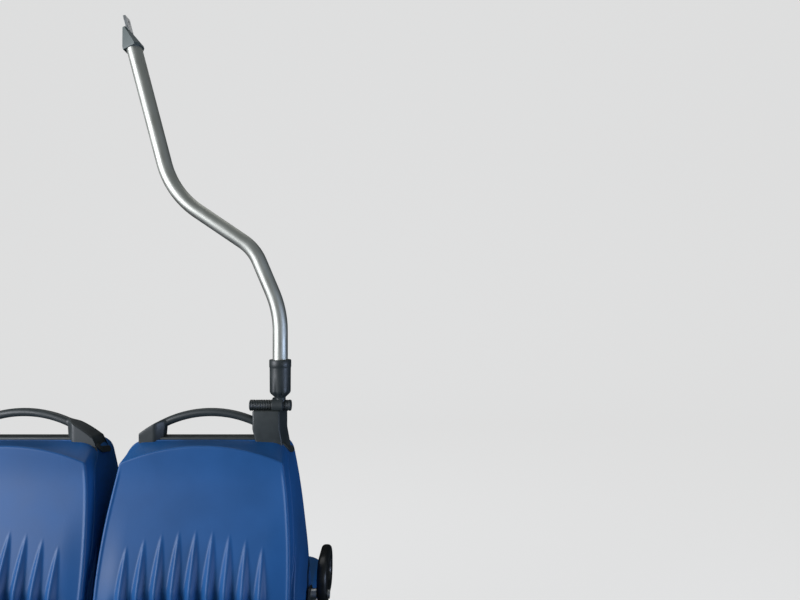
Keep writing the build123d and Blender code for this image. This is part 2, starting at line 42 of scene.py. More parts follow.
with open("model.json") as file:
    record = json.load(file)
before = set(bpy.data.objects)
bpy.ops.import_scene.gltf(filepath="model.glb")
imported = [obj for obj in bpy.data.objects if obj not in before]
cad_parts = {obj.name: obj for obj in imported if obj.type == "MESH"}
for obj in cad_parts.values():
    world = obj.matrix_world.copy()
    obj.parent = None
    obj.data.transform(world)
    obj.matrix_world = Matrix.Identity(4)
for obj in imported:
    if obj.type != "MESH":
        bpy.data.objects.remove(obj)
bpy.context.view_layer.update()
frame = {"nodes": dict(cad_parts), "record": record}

MM = 0.001
SEATS = ("window_seat", "aisle_seat")


def linear(hex_colour):
    """An sRGB hex colour as linear red, green, blue and an alpha of 1."""
    value = np.array([int(hex_colour[i:i + 2], 16) for i in (1, 3, 5)]) / 255
    turned = np.where(value <= 0.04045, value / 12.92, ((value + 0.055) / 1.055) ** 2.4)
    return (*turned.tolist(), 1.0)


def length(name, description, millimetres):
    """A length that a user can set, with its default in millimetres."""
    return bpy.props.FloatProperty(
        name=name, description=description, default=millimetres * MM, unit="LENGTH", precision=4)


def offset(name, description, millimetres):
    """A place that may lie on either side of the middle, shown in Blender's length unit."""
    return bpy.props.FloatProperty(
        name=name, description=description, default=millimetres * MM, subtype="DISTANCE", unit="LENGTH")


def turn(name, description, degrees):
    """An angle that a user can set, with its default in degrees."""
    return bpy.props.FloatProperty(
        name=name, description=description, default=radians(degrees), unit="ROTATION")


def colour(name, description, hex_colour):
    """A colour that a user can set, with its default as an sRGB hex value."""
    return bpy.props.FloatVectorProperty(
        name=name, description=description, default=linear(hex_colour), size=4,
        subtype="COLOR", min=0.0, max=1.0)


def whole(name, description, number):
    """A count that a user can set."""
    return bpy.props.IntProperty(name=name, description=description, default=number, min=1)


class SeatForm(bpy.types.PropertyGroup):
    """Sizes of the two moulded seats. Depths are measured forward from the top of the rear panel."""

    cap_depth: length("Cap depth", "From the ridge of the panel to the handle", 60)
    shell_overlap: length("Shell overlap", "How far the shell reaches into the panel", 6)
    seam_gap: length("Seam gap", "Fine step between the panel's rim and the shell", 0.5)
    panel_inset: length("Panel inset", "Rear panel narrower than the shell, each side", 6)
    panel_wall: length("Panel wall", "Thickness of the moulded panel", 3)
    panel_reach: length("Panel reach", "Depth of the panel's rim", 28)
    panel_bottom: length("Panel bottom", "Height of the panel's lower edge", 395)
    panel_corner: length("Panel corner", "Corner radius at the ends of the ridge", 11)
    panel_foot_corner: length("Panel foot corner", "Radius of the two lower corners", 24)
    rim_radius: length("Rim radius", "Rounding along the panel's sides", 5)
    ridge_radius: length("Ridge radius", "Rounding along the arched ridge", 5)
    ridge_end: length("Ridge end", "Height of the ridge at the sides", 880)
    ridge_peak: length("Ridge peak", "Height of the ridge in the middle", 916)
    knee: length("Knee", "Height where the panel starts to run rearward", 844)
    knee_softness: length("Knee softness", "Length of the soft bend at the knee", 45)
    foot: length("Foot", "Height where the panel is upright again", 585)
    foot_softness: length("Foot softness", "Length of the soft bend at the foot", 55)
    panel_slope: turn("Panel slope", "Slope of the panel between knee and foot", 19.5)
    crown: length("Crown", "How far the panel's sides fall back low down", 9)
    lip: length("Lip", "How far the panel's edge stands out to the rear", 1.6)
    lip_width: length("Lip width", "Slope from the panel up to its lip", 5)

    ribs: whole("Ribs", "Number of ribs on the panel", 9)
    rib_pitch: length("Rib pitch", "From one rib to the next", 37.5)
    rib_tip: length("Rib tip", "Height where the middle rib starts", 738)
    rib_tip_arc: length("Rib tip arc", "The tips lie on an arc of this radius", 380)
    rib_slope: turn("Rib slope", "Slope of a rib's crest, more than the panel's own", 27)
    rib_radius: length("Rib radius", "Sets how fast a rib widens as it rises", 11)
    rib_end: length("Rib end", "Height where the ribs sink into the panel again", 455)

    lean: turn("Side lean", "Lean of the upper sides", 10.3)
    lean_corner: length("Lean corner", "Height about which the sides turn inward", 736.5)
    side_radius: length("Side radius", "Long curve of the sides", 1400)
    shoulder_radius: length("Shoulder radius", "Round shoulders of the back", 45)
    top_round: length("Top rounding", "Rounding of the back's upper front edge", 22.5)
    wing_tip: length("Wing tip", "Thickness of a side wing at its edge", 24)
    wing_round: length("Wing rounding", "Rounding of the wing's edge", 10.5)
    wing_taper: length("Wing taper", "A wing is thicker by this at its root", 16)
    scoop_radius: length("Scoop radius", "Hollow corner between wing and back", 46)
    scoop_bow: length("Scoop bow", "Sideways hollow of the back", 9)
    waist: length("Waist", "Height where the wings start to run forward", 699)
    wing_waist: length("Wing depth at the waist", "Front edge of the wings at the waist", 152)
    scoop_waist: length("Back depth at the waist", "Face of the back at the waist", 104)
    waist_softness: length("Waist softness", "Length of the soft bend at the waist", 45)
    recess: length("Side recess", "Depth of the groove beside the panel, low down", 11)
    recess_width: length("Recess width", "Front to back", 15)
    recess_top: length("Recess top", "The groove fades out at this height", 705)

    seam: length("Seam", "Height of the joint between back and cushion", 430)
    seam_radius: length("Seam rounding", "Rounding of both edges of the seam", 3)
    pan_bottom: length("Pan bottom", "Underside of the cushion pan", 385)
    pan_front: length("Pan front", "Front of the cushion", 552)
    pan_wall: length("Pan wall", "Thickness of the moulded pan", 4)
    pan_corner: length("Pan corner", "Plan radius of the front corners", 60)
    pan_rear_corner: length("Pan rear corner", "Plan radius of the rear corners", 12)
    pan_edge: length("Pan edge", "Rounding along the cushion's upper edge", 13)
    bolster: length("Bolster", "Height of the cushion's sides and front", 449)
    bolster_width: length("Bolster width", "Width of a side bolster", 30)
    bolster_fade: length("Bolster fade", "Width over which a bolster runs into the dish", 46)
    dish: length("Dish", "Height of the cushion's lowest line", 423)
    dish_low: length("Dish low", "Where that line is", 300)
    band_width: length("Band width", "Solid bands under the pan that stand on the rails", 54)
    band_offset: length("Band offset", "A band's centre from the seat's centre", 130)


class FittingSizes(bpy.types.PropertyGroup):
    """Sizes of the grip, its clamp, the socket, the stanchion, the armrest and the bolts."""

    grip_diameter: length("Grip diameter", "Over the ribs", 27)
    ring_pitch: length("Ring pitch", "From one ring of the grip to the next", 4)
    ring_depth: length("Ring depth", "Depth between the rings", 1.2)
    grip_end: length("Grip end", "Length of the plain round ends", 3)
    clamp_start: length("Clamp start", "Inner side of the clamp, from the seat's middle", 148)
    clamp_width: length("Clamp width", "Along the grip", 26)
    clamp_diameter: length("Clamp diameter", "Clamp round the grip", 38)
    tube_place: length("Tube place", "Foot of the stanchion, from the seat's middle", 166)
    tube_diameter: length("Tube diameter", "Stanchion", 36)
    socket_diameter: length("Socket diameter", "Plastic socket of the stanchion", 50)
    socket_neck: length("Socket neck", "Diameter of the socket's foot", 26)
    socket_neck_height: length("Socket neck height", "Plain part under the taper", 4)
    socket_taper: length("Socket taper", "Height of the finned taper", 15)
    socket_lip: length("Socket lip", "How far the upper lip stands out", 1.2)
    socket_lip_height: length("Socket lip height", "Height of the upper lip", 18)
    socket_height: length("Socket height", "Over everything", 95)
    socket_fins: whole("Socket fins", "Number of fins round the taper", 10)
    loop_rim: length("Armrest rim", "Width of the loop's rim", 28)
    loop_height: length("Armrest height", "Over the loop", 123)
    loop_corner: length("Armrest corner", "Outer radius of the loop's corners", 55)
    bolt_head: length("Bolt head", "Across the flats of the rails' bolts", 17)
    bolt_height: length("Bolt height", "Height of a bolt head with its washer", 7)


class HandleSizes(bpy.types.PropertyGroup):
    """Sizes of the grab handles, across and forward from the seat's middle and the top of its panel."""

    left: offset("Left end", "Outer end of the handle on the left", -164)
    right: offset("Right end", "Outer end of the handle on the right", 176)
    slot_left: offset("Slot left", "Left end of the slot under the bow", -108)
    slot_right: offset("Slot right", "Right end of the slot under the bow", 110)
    slot_slant: length("Slot slant", "A slot's end runs outward by this, downward", 5)
    bow_top: length("Bow top", "Crown of the bow", 992.5)
    bow_radius: length("Bow radius", "Of the bow's centre line", 255)
    bow_centre: offset("Bow centre", "Crown of the bow, from the seat's middle", 0)
    bow_diameter: length("Bow diameter", "Round section of the bow", 20)
    bow_depth: length("Bow depth", "Centre of the bow, behind to front", 78)
    end_rear: length("End rear", "Rear face of the solid ends and of the block", 51)
    end_foot: length("End foot", "The ends and the block reach down over the back by this", 7)
    end_drop: length("End drop", "The right-hand end's foot drops by this over the shoulder", 36)
    end_front: length("End front", "Front face of a solid end beside the slot", 94)
    end_front_outer: length("End front, outside", "Front face of a solid end at the shoulder", 106)
    end_toe: length("End toe", "The outer side stands out by this at its foot", 12)
    edge: length("Edge rounding", "Rounding of the moulded edges", 3.5)
    strip: length("Strip thickness", "Strip along the back's flat top", 6)
    strip_depth: length("Strip depth", "Front to back", 36)
    lug_width: length("Lug width", "Curved strap on a shoulder", 15)
    lug_thickness: length("Lug thickness", "Same strap", 3.5)
    block_left: length("Block left", "Inner side of the tall block", 104)
    block_right: length("Block right", "Outer side of the tall block, at its rear", 168)
    block_flare: length("Block flare", "Its outer side is further out by this at the front", 14)
    block_top: length("Block top", "Height of the tall block", 989)
    block_knee: length("Block knee", "Below this height the block spreads over the shoulder", 946)
    block_slant: length("Block slant", "The inner side comes in by this at its foot", 8)
    block_toe: length("Block toe", "The outer side stands out by this at its foot", 11)
    block_drop: length("Block drop", "Its foot drops by this over the shoulder", 28)


class SeatColours(bpy.types.PropertyGroup):
    """Colours of the finishes."""

    shell: colour("Seat blue", "Moulded seat plastic", "#1b5189")
    handle: colour("Handle grey", "Glass-filled nylon", "#282e2f")
    steel: colour("Stainless", "Ground stainless tube", "#bcbdb6")
    collar: colour("Collar grey", "Moulded collar", "#555f5d")
    paint: colour("Frame paint", "Powder coat of the under-frame", "#2b2e30")
    zinc: colour("Zinc", "Plated pins and screws", "#aeb1b3")
    loop: colour("Armrest black", "Skin of the loop", "#0e1113")


class StageSettings(bpy.types.PropertyGroup):
    """Camera, lamps and backdrop."""

    lens: bpy.props.FloatProperty(
        name="Lens", description="Focal length in millimetres", default=27.09, min=1.0)
    camera_x: length("Camera X", "Across the bus", 345.4)
    camera_y: length("Camera Y", "Along the bus", -1591.6)
    camera_z: length("Camera Z", "Above the floor", 1221)
    shift_across: bpy.props.FloatProperty(
        name="Shift across", description="Lens shift to the right, in picture widths", default=0.015)
    shift_up: bpy.props.FloatProperty(
        name="Shift up", description="Lens shift upward, in picture widths", default=0.01625)
    floor: colour("Floor", "Studio floor and backdrop", "#707171")
    floor_depth: length("Floor depth", "From the middle to the backdrop", 9000)


# Mesh building


def unit(vectors):
    """Vectors of length 1 along the last axis."""
    return vectors / np.linalg.norm(vectors, axis=-1, keepdims=True)


def smoothstep(value, start, end):
    """0 at start, 1 at end, and the cubic 3 t^2 - 2 t^3 of the way between them."""
    t = np.clip((value - start) / (end - start), 0, 1)
    return t * t * (3 - 2 * t)


def ramp(value, softness):
    """Nothing well below 0, the value itself well above it, joined by a hyperbola of that softness."""
    return (value + np.sqrt(value ** 2 + softness ** 2)) / 2


def corner_arc(start, corner, end, weight, t):
    """An arc from start to end: a rational quadratic with the corner in its middle, at that weight."""
    a, b, c = (1 - t) ** 2, 2 * t * (1 - t) * weight, t ** 2
    return (a * start + b * corner + c * end) / (a + b + c)


def rounded_rings(corners, radii, arc_steps, run_steps):
    """Closed rings with round corners, one for each row of corners.

    A corner gives way to a circular arc, drawn as a rational quadratic between its two tangent
    points with the cosine of half the turn as its middle weight. A straight run is divided evenly.
    """
    shortest_reach = 0.05 * MM
    way_in = unit(corners - np.roll(corners, 1, axis=1))
    way_out = unit(np.roll(corners, -1, axis=1) - corners)
    across = way_in[..., 0] * way_out[..., 1] - way_in[..., 1] * way_out[..., 0]
    half_turn = np.arctan2(np.abs(across), (way_in * way_out).sum(-1)) / 2
    reach = np.maximum(radii * np.tan(half_turn), shortest_reach)[..., None]
    start = corners - way_in * reach
    end = corners + way_out * reach
    next_start = np.roll(start, -1, axis=1)
    t = np.linspace(0, 1, arc_steps + 1)[None, :, None]
    rings = []
    for i in range(corners.shape[1]):
        weight = np.cos(half_turn[:, i])[:, None, None]
        rings.append(corner_arc(start[:, i, None], corners[:, i, None], end[:, i, None], weight, t))
        if run_steps[i]:
            part = np.linspace(0, 1, run_steps[i] + 2)[None, 1:-1, None]
            rings.append((1 - part) * end[:, i, None] + part * next_start[:, i, None])
    return np.concatenate(rings, axis=1)


def resample(line, count):
    """The same open line with evenly spaced points."""
    steps = np.linalg.norm(np.diff(line, axis=0), axis=1)
    along = np.concatenate([[0], np.cumsum(steps)])
    wanted = np.linspace(0, along[-1], count)
    return np.stack([np.interp(wanted, along, line[:, k]) for k in range(line.shape[1])], axis=1)


def four_sides(corners, radii, split, counts):
    """A round-cornered outline cut at the middles of four of its corners into evenly spaced sides."""
    arc_steps, run_steps = 24, 24
    rows = np.array([corners], float)
    ring = rounded_rings(rows, np.array([radii], float), arc_steps, [run_steps] * len(corners))[0]
    starts = [i * (arc_steps + 1 + run_steps) + arc_steps // 2 for i in split]
    sides = []
    for start, stop, count in zip(starts, starts[1:] + starts[:1], counts):
        places = np.arange(start, stop + 1) if stop > start else np.arange(start, stop + 1 + len(ring))
        sides.append(resample(ring[places % len(ring)], count))
    return sides


def loop_of(sides):
    """Four sides joined into one closed loop, with each corner point once."""
    return np.concatenate([side[:-1] for side in sides])


def outward_of(loop):
    """Unit normals of a closed counterclockwise loop in its plane, pointing out."""
    along = unit(np.roll(loop, -1, axis=0) - np.roll(loop, 1, axis=0))
    return np.stack([along[:, 1], -along[:, 0]], axis=1)


def fill_patch(loop, columns, rows):
    """A grid inside a closed loop.

    It is the sum of the two grids ruled between opposite sides, less the grid ruled between the corners.
    """
    bottom = loop[:columns]
    right = loop[columns - 1:columns + rows - 1]
    top = loop[columns + rows - 2:2 * columns + rows - 2][::-1]
    left = np.concatenate([loop[2 * columns + rows - 3:], loop[:1]])[::-1]
    u = np.linspace(0, 1, columns)[None, :, None]
    v = np.linspace(0, 1, rows)[:, None, None]
    ruled_up = (1 - v) * bottom[None] + v * top[None]
    ruled_across = (1 - u) * left[:, None] + u * right[:, None]
    flat = (1 - v) * ((1 - u) * bottom[0] + u * bottom[-1]) + v * ((1 - u) * top[0] + u * top[-1])
    return ruled_up + ruled_across - flat


def grid_faces(rows, columns, wrap_rows=False, wrap_columns=False):
    """Four-sided faces of a grid whose points are numbered row by row."""
    i = np.arange(rows if wrap_rows else rows - 1)[:, None]
    j = np.arange(columns if wrap_columns else columns - 1)[None, :]
    below, beside = (i + 1) % rows, (j + 1) % columns
    corners = [i * columns + j, i * columns + beside, below * columns + beside, below * columns + j]
    return np.stack(corners, -1).reshape(-1, 4)


def border_of(rows, columns):
    """Numbers of a grid's border points, round it once: lower side, right, upper, left."""
    lower = np.arange(columns)
    right = np.arange(1, rows) * columns + columns - 1
    upper = (rows - 1) * columns + np.arange(columns - 2, -1, -1)
    left = np.arange(rows - 2, 0, -1) * columns
    return np.concatenate([lower, right, upper, left])


def tray(patch, rings):
    """Points and faces of a face patch with a rim of closed rings that starts at its border."""
    rows, columns = patch.shape[:2]
    border = border_of(rows, columns)
    points = np.concatenate([patch.reshape(-1, 3)] + rings)
    count = len(border)
    numbers = [border] + [rows * columns + k * count + np.arange(count) for k in range(len(rings))]
    strips = []
    for inner, outer in zip(numbers, numbers[1:]):
        strips.append(np.stack([inner, outer, np.roll(outer, -1), np.roll(inner, -1)], -1))
    return points, np.concatenate([grid_faces(rows, columns)] + strips)


def lathe(profile, steps):
    """Points on a grid: a profile of radius and height, carried round the Z axis."""
    angle = np.linspace(0, 2 * pi, steps, endpoint=False)
    radius, height = profile[:, 0, None], profile[:, 1, None]
    spread = np.broadcast_to(height, (len(profile), steps))
    return np.stack([radius * np.cos(angle), radius * np.sin(angle), spread], -1)


def laid_across(rings):
    """Rings drawn round the Z axis, laid over so that they run along X."""
    return np.stack([rings[..., 2], rings[..., 0], rings[..., 1]], axis=-1)


def at_heights(plan, heights):
    """Rings in X and Y, raised to a height for each ring or for each of its points."""
    return np.concatenate([plan, np.broadcast_to(heights[..., None], plan.shape[:2] + (1,))], axis=-1)


def closed_tube(rings):
    """Points and faces of rings joined one after another, with a face over each open end."""
    rows, columns = rings.shape[:2]
    faces = grid_faces(rows, columns, wrap_columns=True).tolist()
    faces.append(list(range(columns))[::-1])
    faces.append(list(range((rows - 1) * columns, rows * columns)))
    return rings.reshape(-1, 3), faces


def add_piece(name, points, faces, material, facing=None, sharp=40, uv=None):
    """A mesh piece with its faces outward, smooth but for edges sharper than that many degrees.

    A closed piece is turned by the sign of its volume, and an open one so that its first face
    looks the way that facing says.
    """
    points = np.asarray(points, float)
    faces = faces.tolist() if isinstance(faces, np.ndarray) else faces
    if facing is not None:
        a, b, c = (points[k] for k in faces[0][:3])
        turned = np.dot(np.cross(b - a, c - a), facing) < 0
    else:
        middle = points.mean(0)
        volume = 0.0
        for size in {len(face) for face in faces}:
            same = np.array([face for face in faces if len(face) == size])
            first = points[same[:, 0]] - middle
            for k in range(1, size - 1):
                volume += np.einsum(
                    "ij,ij->", first, np.cross(points[same[:, k]] - middle, points[same[:, k + 1]] - middle))
        turned = volume < 0
    if turned:
        faces = [face[::-1] for face in faces]
    mesh = bpy.data.meshes.new(name)
    mesh.from_pydata(points.tolist(), [], faces)
    if uv is not None:
        layer = mesh.uv_layers.new(name="UVMap")
        corner_points = np.empty(len(mesh.loops), int)
        mesh.loops.foreach_get("vertex_index", corner_points)
        layer.uv.foreach_set("vector", uv[corner_points].astype(np.float32).ravel())
    mesh.validate()
    mesh.shade_smooth()
    mesh.set_sharp_from_angle(angle=radians(sharp))
    mesh.materials.append(material)
    piece = bpy.data.objects.new(name, mesh)
    bpy.context.scene.collection.objects.link(piece)
    return piece


def give_wall(piece, thickness):
    """A wall of that thickness behind an open surface, with its rim closed."""
    wall = piece.modifiers.new("Wall", "SOLIDIFY")
    wall.thickness = thickness
    wall.offset = -1
    wall.use_even_offset = True
    wall.use_rim = True


# Places that come from the frame


def seat_place(form, seat):
    """Where a seat's own axes stand: its centre across, and the plane of the top of its rear panel."""
    low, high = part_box(f"{seat}_back_shell")
    panel_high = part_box(f"{seat}_rear_panel")[1]
    return np.array([(low.x + high.x) / 2, panel_high.y - form.cap_depth, 0.0])


def shell_half():
    """Half the width of a moulded seat."""
    low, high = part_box("aisle_seat_back_shell")
    return (high.x - low.x) / 2


def back_top():
    """Height of the flat top of a back."""
    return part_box("aisle_seat_back_shell")[1].z


# Form of the backs


def lean_in(form, z):
    """How far the sides stand in at a height: nothing low down, a parabola, then a straight lean."""
    reach = form.side_radius * tan(form.lean / 2)
    start = form.lean_corner - reach
    along = np.clip(z - start, 0, 2 * reach)
    return along ** 2 / (2 * form.side_radius) + np.maximum(z - start - 2 * reach, 0) * tan(form.lean)


def shoulder_centre(form, half):
    """Centre of the round shoulder, seen from behind."""
    top_half = half - lean_in(form, back_top())
    reach = form.shoulder_radius * tan((pi / 2 - form.lean) / 2)
    return float(top_half - reach), back_top() - form.shoulder_radius


def half_width(form, half, z):
    """Half the width at a height, with the shoulder's arc at the top."""
    centre_x, centre_z = shoulder_centre(form, half)
    over = np.clip(z - centre_z, 0, form.shoulder_radius)
    arc = centre_x + np.sqrt(form.shoulder_radius ** 2 - over ** 2)
    return np.where(z > centre_z + form.shoulder_radius * sin(form.lean), arc, half - lean_in(form, z))


def panel_run(form, z):
    """Depth of the panel's rear face: upright, then sloping rearward from knee to foot, then upright."""
    fall = ramp(form.knee - z, form.knee_softness) - ramp(form.foot - z, form.foot_softness)
    return -tan(form.panel_slope) * fall


def rib_relief(form, x, z):
    """Height of the ribs over the panel: cosine-squared waves across it, from crest to valley.

    A crest leaves the panel's slope at a steeper angle from a tip on an arc, and stands upright once it
    is as far back as the panel's foot. From there the valleys between the crests sink in instead, so
    that a rib keeps its full height, and low down both run out into the panel again. A rib widens with
    the square root of its height, so that it starts in a soft point.
    """
    tip_softness, crest_softness, end_fade = 12 * MM, 4 * MM, 20 * MM
    widening, least_width, outer_fade = 1.6, 0.5 * MM, 0.9
    last = (form.ribs - 1) / 2
    number = np.clip(np.round(x / form.rib_pitch + last), 0, form.ribs - 1) - last
    aside = np.abs(x - number * form.rib_pitch)
    tip = form.rib_tip - (number * form.rib_pitch) ** 2 / (2 * form.rib_tip_arc)
    rise = ramp(tip - z, tip_softness) - ramp(form.foot - z, form.foot_softness)
    height = np.maximum(rise, 0) * (tan(form.rib_slope) - tan(form.panel_slope))
    height = height * smoothstep(z, form.rib_end - end_fade, form.rib_end + end_fade)
    width = np.minimum(np.sqrt(widening * form.rib_radius * height) + least_width, form.rib_pitch / 2)
    wave = np.cos(pi / 2 * np.clip(aside / width, 0, 1)) ** 2
    room = panel_run(form, z) - panel_run(form, form.foot - 2 * form.foot_softness)
    crest = height - ramp(height - room, crest_softness)
    sunk = (height - crest) * (1 - smoothstep(np.abs(x) / form.rib_pitch, last, last + outer_fade))
    return crest * wave - sunk * (1 - wave)


def panel_face(form, half, x, z):
    """Depth of the rear panel at a point: its run, its sideways crown, the lip at its edge and its ribs."""
    crown_start, crown_end, crown_fade = 0.72, 1.02, 30 * MM
    lip_fade_start, lip_fade_end = form.ridge_end - 45 * MM, form.ridge_end - 5 * MM
    aside = smoothstep(np.abs(x) / half, crown_start, crown_end)
    low_down = 1 - smoothstep(z, form.foot, form.knee - crown_fade)
    inside = half - lean_in(form, z) - form.rim_radius - np.abs(x)
    lip = form.lip * (1 - smoothstep(inside, 0, form.lip_width))
    lip = lip * (1 - smoothstep(z, lip_fade_start, lip_fade_end))
    return panel_run(form, z) + form.crown * aside * low_down - lip - rib_relief(form, x, z)


def shell_rear(form, z):
    """Depth where the back shell starts: behind the panel's rim, and behind its cap at the top."""
    fade_below, fade_above = 35 * MM, 25 * MM
    low = panel_run(form, z) + form.panel_reach
    blend = smoothstep(z, form.ridge_end - fade_below, form.ridge_end + fade_above)
    return low * (1 - blend) + form.cap_depth * blend


# Slopes above and below the waist, of the wings' front edge and of the back between them
WING_SLOPES = 0.0814, 0.503
SCOOP_SLOPES = 0.0635, 0.1297


def waisted_run(form, z, waist_depth, slopes):
    """Depth that grows downward by the first slope, and by the second one well below the waist."""
    upper, lower = slopes
    depth = waist_depth + upper * (form.waist - z)
    return depth + (lower - upper) * ramp(form.waist - z, form.waist_softness)


def wing_front(form, z):
    """Depth of the wings' front edge: a gentle lean above the waist, a strong one below it, a round top."""
    depth = waisted_run(form, z, form.wing_waist, WING_SLOPES)
    rise = np.clip(z - (back_top() - form.top_round), 0, form.top_round)
    return depth - (form.top_round - np.sqrt(form.top_round ** 2 - rise ** 2))


def scoop_face(form, z):
    """Depth of the back between the wings, which runs out into the upper rim in an S curve."""
    rim_start, rim_end = back_top() - 66 * MM, back_top() - 14 * MM
    depth = waisted_run(form, z, form.scoop_waist, SCOOP_SLOPES)
    out = smoothstep(z, rim_start, rim_end)
    return depth * (1 - out) + wing_front(form, z) * out


def back_rings(form, half):
    """Level sections of a back shell from the seam to the top.

    Each section is a ring of round corners: flat behind, a groove beside the panel low down, a
    side, the round edge of a wing, and the scooped face bowed between two hollow corners.
    """
    seam_steps, side_steps, shoulder_steps, corner_steps = 5, 84, 22, 6
    groove_fade, groove_slant, taper_depth = 110 * MM, 0.4 * MM, 60 * MM
    least_depth, tip_slant, least_tip = 0.02 * MM, 0.01 * MM, 0.5 * MM
    bow_share, hollow_share, tip_share, lip_share = 0.5, 0.55, 0.6, 0.4
    least_lip, most_lip, rear_edge, face_radius = 0.3 * MM, 4 * MM, 2 * MM, 300 * MM

    shoulder_foot = back_top() - form.shoulder_radius
    angle = np.linspace(0, pi / 2, seam_steps)
    seam_rows = form.seam + form.seam_radius * (1 - np.cos(angle))
    seam_inset = form.seam_radius * (1 - np.sin(angle))
    side_rows = np.linspace(form.seam + form.seam_radius, shoulder_foot, side_steps)[1:]
    over = np.linspace(0, pi / 2, shoulder_steps)[1:]
    shoulder_rows = shoulder_foot + form.shoulder_radius * np.sin(over)
    z = np.concatenate([seam_rows, side_rows, shoulder_rows])
    inset = np.concatenate([seam_inset, np.zeros(len(side_rows) + len(shoulder_rows))])

    side = half_width(form, half, z) - inset
    rear = shell_rear(form, z) - form.shell_overlap
    groove = form.recess * (1 - smoothstep(z, form.recess_top - groove_fade, form.recess_top))
    front = wing_front(form, z) - inset
    face = scoop_face(form, z)
    depth = np.maximum(front - face, least_depth)
    bow = np.minimum(form.scoop_bow, depth * bow_share)
    root = side - form.wing_tip - form.wing_taper * smoothstep(depth, 0, taper_depth)
    tip = side - form.wing_tip
    groove_front = rear + form.shell_overlap + form.recess_width
    right = [
        (side - groove - groove_slant, rear),
        (side - groove, groove_front),
        (side, groove_front + groove_slant),
        (side, front),
        (tip, front - tip_slant),
        (root, face + bow),
    ]
    left = [(-x, y) for x, y in right[::-1]]
    middle = [(np.zeros_like(z), face)]
    corners = np.stack([np.stack(pair, -1) for pair in right + middle + left], axis=1)
    hollow = np.clip(depth * hollow_share, least_depth, form.scoop_radius)
    round_tip = np.clip(depth * tip_share, least_tip, form.wing_round)
    full = np.full_like(z, form.wing_round)
    edge = np.full_like(z, rear_edge)
    lip = np.minimum(np.maximum(groove * lip_share, least_lip), most_lip)
    half_radii = [edge, lip, lip, full, round_tip, hollow]
    radii = np.stack(half_radii + [np.full_like(z, face_radius)] + half_radii[::-1], axis=1)
    runs = [1, 1, 10, 1, 6, 6, 6, 6, 1, 10, 1, 1, 16]
    return at_heights(rounded_rings(corners, radii, corner_steps, runs), z[:, None])


def panel_surface(form, half):
    """Points and faces of a rear panel.

    The face is a grid in X and Z inside the panel's outline, with its depth from panel_face. Its rim
    turns forward through a quarter circle and runs on, ruled, to the shell's own outline.
    """
    columns, rows, rim_steps, reach_steps = 217, 150, 8, 7
    arch_share, crest_detail, least_reach = 0.94, 8, 4 * MM
    drawn_length, rim_fade, seated_fade = 60 * MM, 60 * MM, 70 * MM

    panel_half = half - form.panel_inset
    ridge_half = float(panel_half - lean_in(form, form.ridge_end))
    rise = form.ridge_peak - form.ridge_end
    arch_radius = (ridge_half ** 2 + rise ** 2) / (2 * rise)
    apex = form.ridge_end + ridge_half * ridge_half / (arch_radius - rise)
    sides = four_sides(
        [(-panel_half, form.panel_bottom), (panel_half, form.panel_bottom), (panel_half, form.lean_corner),
         (ridge_half, form.ridge_end), (0, apex), (-ridge_half, form.ridge_end),
         (-panel_half, form.lean_corner)],
        [form.panel_foot_corner, form.panel_foot_corner, form.side_radius, form.panel_corner,
         arch_radius * arch_share, form.panel_corner, form.side_radius],
        [0, 1, 3, 5], [columns, rows, columns, rows])
    edge = loop_of(sides)
    out = outward_of(edge)
    top_half = float(half - lean_in(form, back_top()))
    crest_sides = four_sides(
        [(-half, form.panel_bottom), (half, form.panel_bottom), (half, form.lean_corner),
         (top_half, back_top()), (-top_half, back_top()), (-half, form.lean_corner)],
        [form.panel_foot_corner, form.panel_foot_corner, form.side_radius, form.shoulder_radius,
         form.shoulder_radius, form.side_radius],
        [0, 1, 3, 4], [columns, crest_detail * rows, columns, crest_detail * rows])

    # The sides of the crest are matched to the edge by height, and drawn out only near the shoulder
    split_z = sides[1][-1, 1]
    crest_z = crest_sides[1][-1, 1]
    edge_z = sides[1][:, 1]
    drawn = edge_z + (crest_z - split_z) * smoothstep(edge_z, split_z - drawn_length, split_z)
    right_x = np.interp(drawn, crest_sides[1][:, 1], crest_sides[1][:, 0])
    right = np.stack([right_x, drawn], axis=1)
    left = np.stack([-right_x, drawn], axis=1)[::-1]
    crest = loop_of([crest_sides[0], right, crest_sides[2], left])

    near_top = smoothstep(edge[:, 1], form.ridge_end - rim_fade, form.ridge_end)
    radius = form.rim_radius * (1 - near_top) + form.ridge_radius * near_top
    patch_loop = edge - out * radius[:, None]
    patch = fill_patch(patch_loop, columns, rows)
    face = panel_face(form, panel_half, patch[..., 0], patch[..., 1])
    patch = np.stack([patch[..., 0], face, patch[..., 1]], axis=-1)

    start = panel_face(form, panel_half, patch_loop[:, 0], patch_loop[:, 1])
    rings = []
    for angle in np.linspace(0, pi / 2, rim_steps)[1:]:
        ring = patch_loop + out * (radius * sin(angle))[:, None]
        rings.append(np.stack([ring[:, 0], start + radius * (1 - cos(angle)), ring[:, 1]], axis=1))
    seated = crest - outward_of(crest) * form.seam_gap
    high = smoothstep(edge[:, 1], form.recess_top - seated_fade, form.recess_top)[:, None]
    goal = seated * high + edge * (1 - high)
    goal_depth = np.maximum(shell_rear(form, crest[:, 1]), start + radius + least_reach)
    for t in np.linspace(0, 1, reach_steps)[1:]:
        ring = edge * (1 - t) + goal * t
        depth = (start + radius) * (1 - t) + goal_depth * t
        rings.append(np.stack([ring[:, 0], depth, ring[:, 1]], axis=1))
    return tray(patch, rings)


def pan_rear(form):
    """Depth of the cushion pan's rear edge, behind the panel's foot."""
    return -tan(form.panel_slope) * (form.knee - form.foot) + form.panel_reach


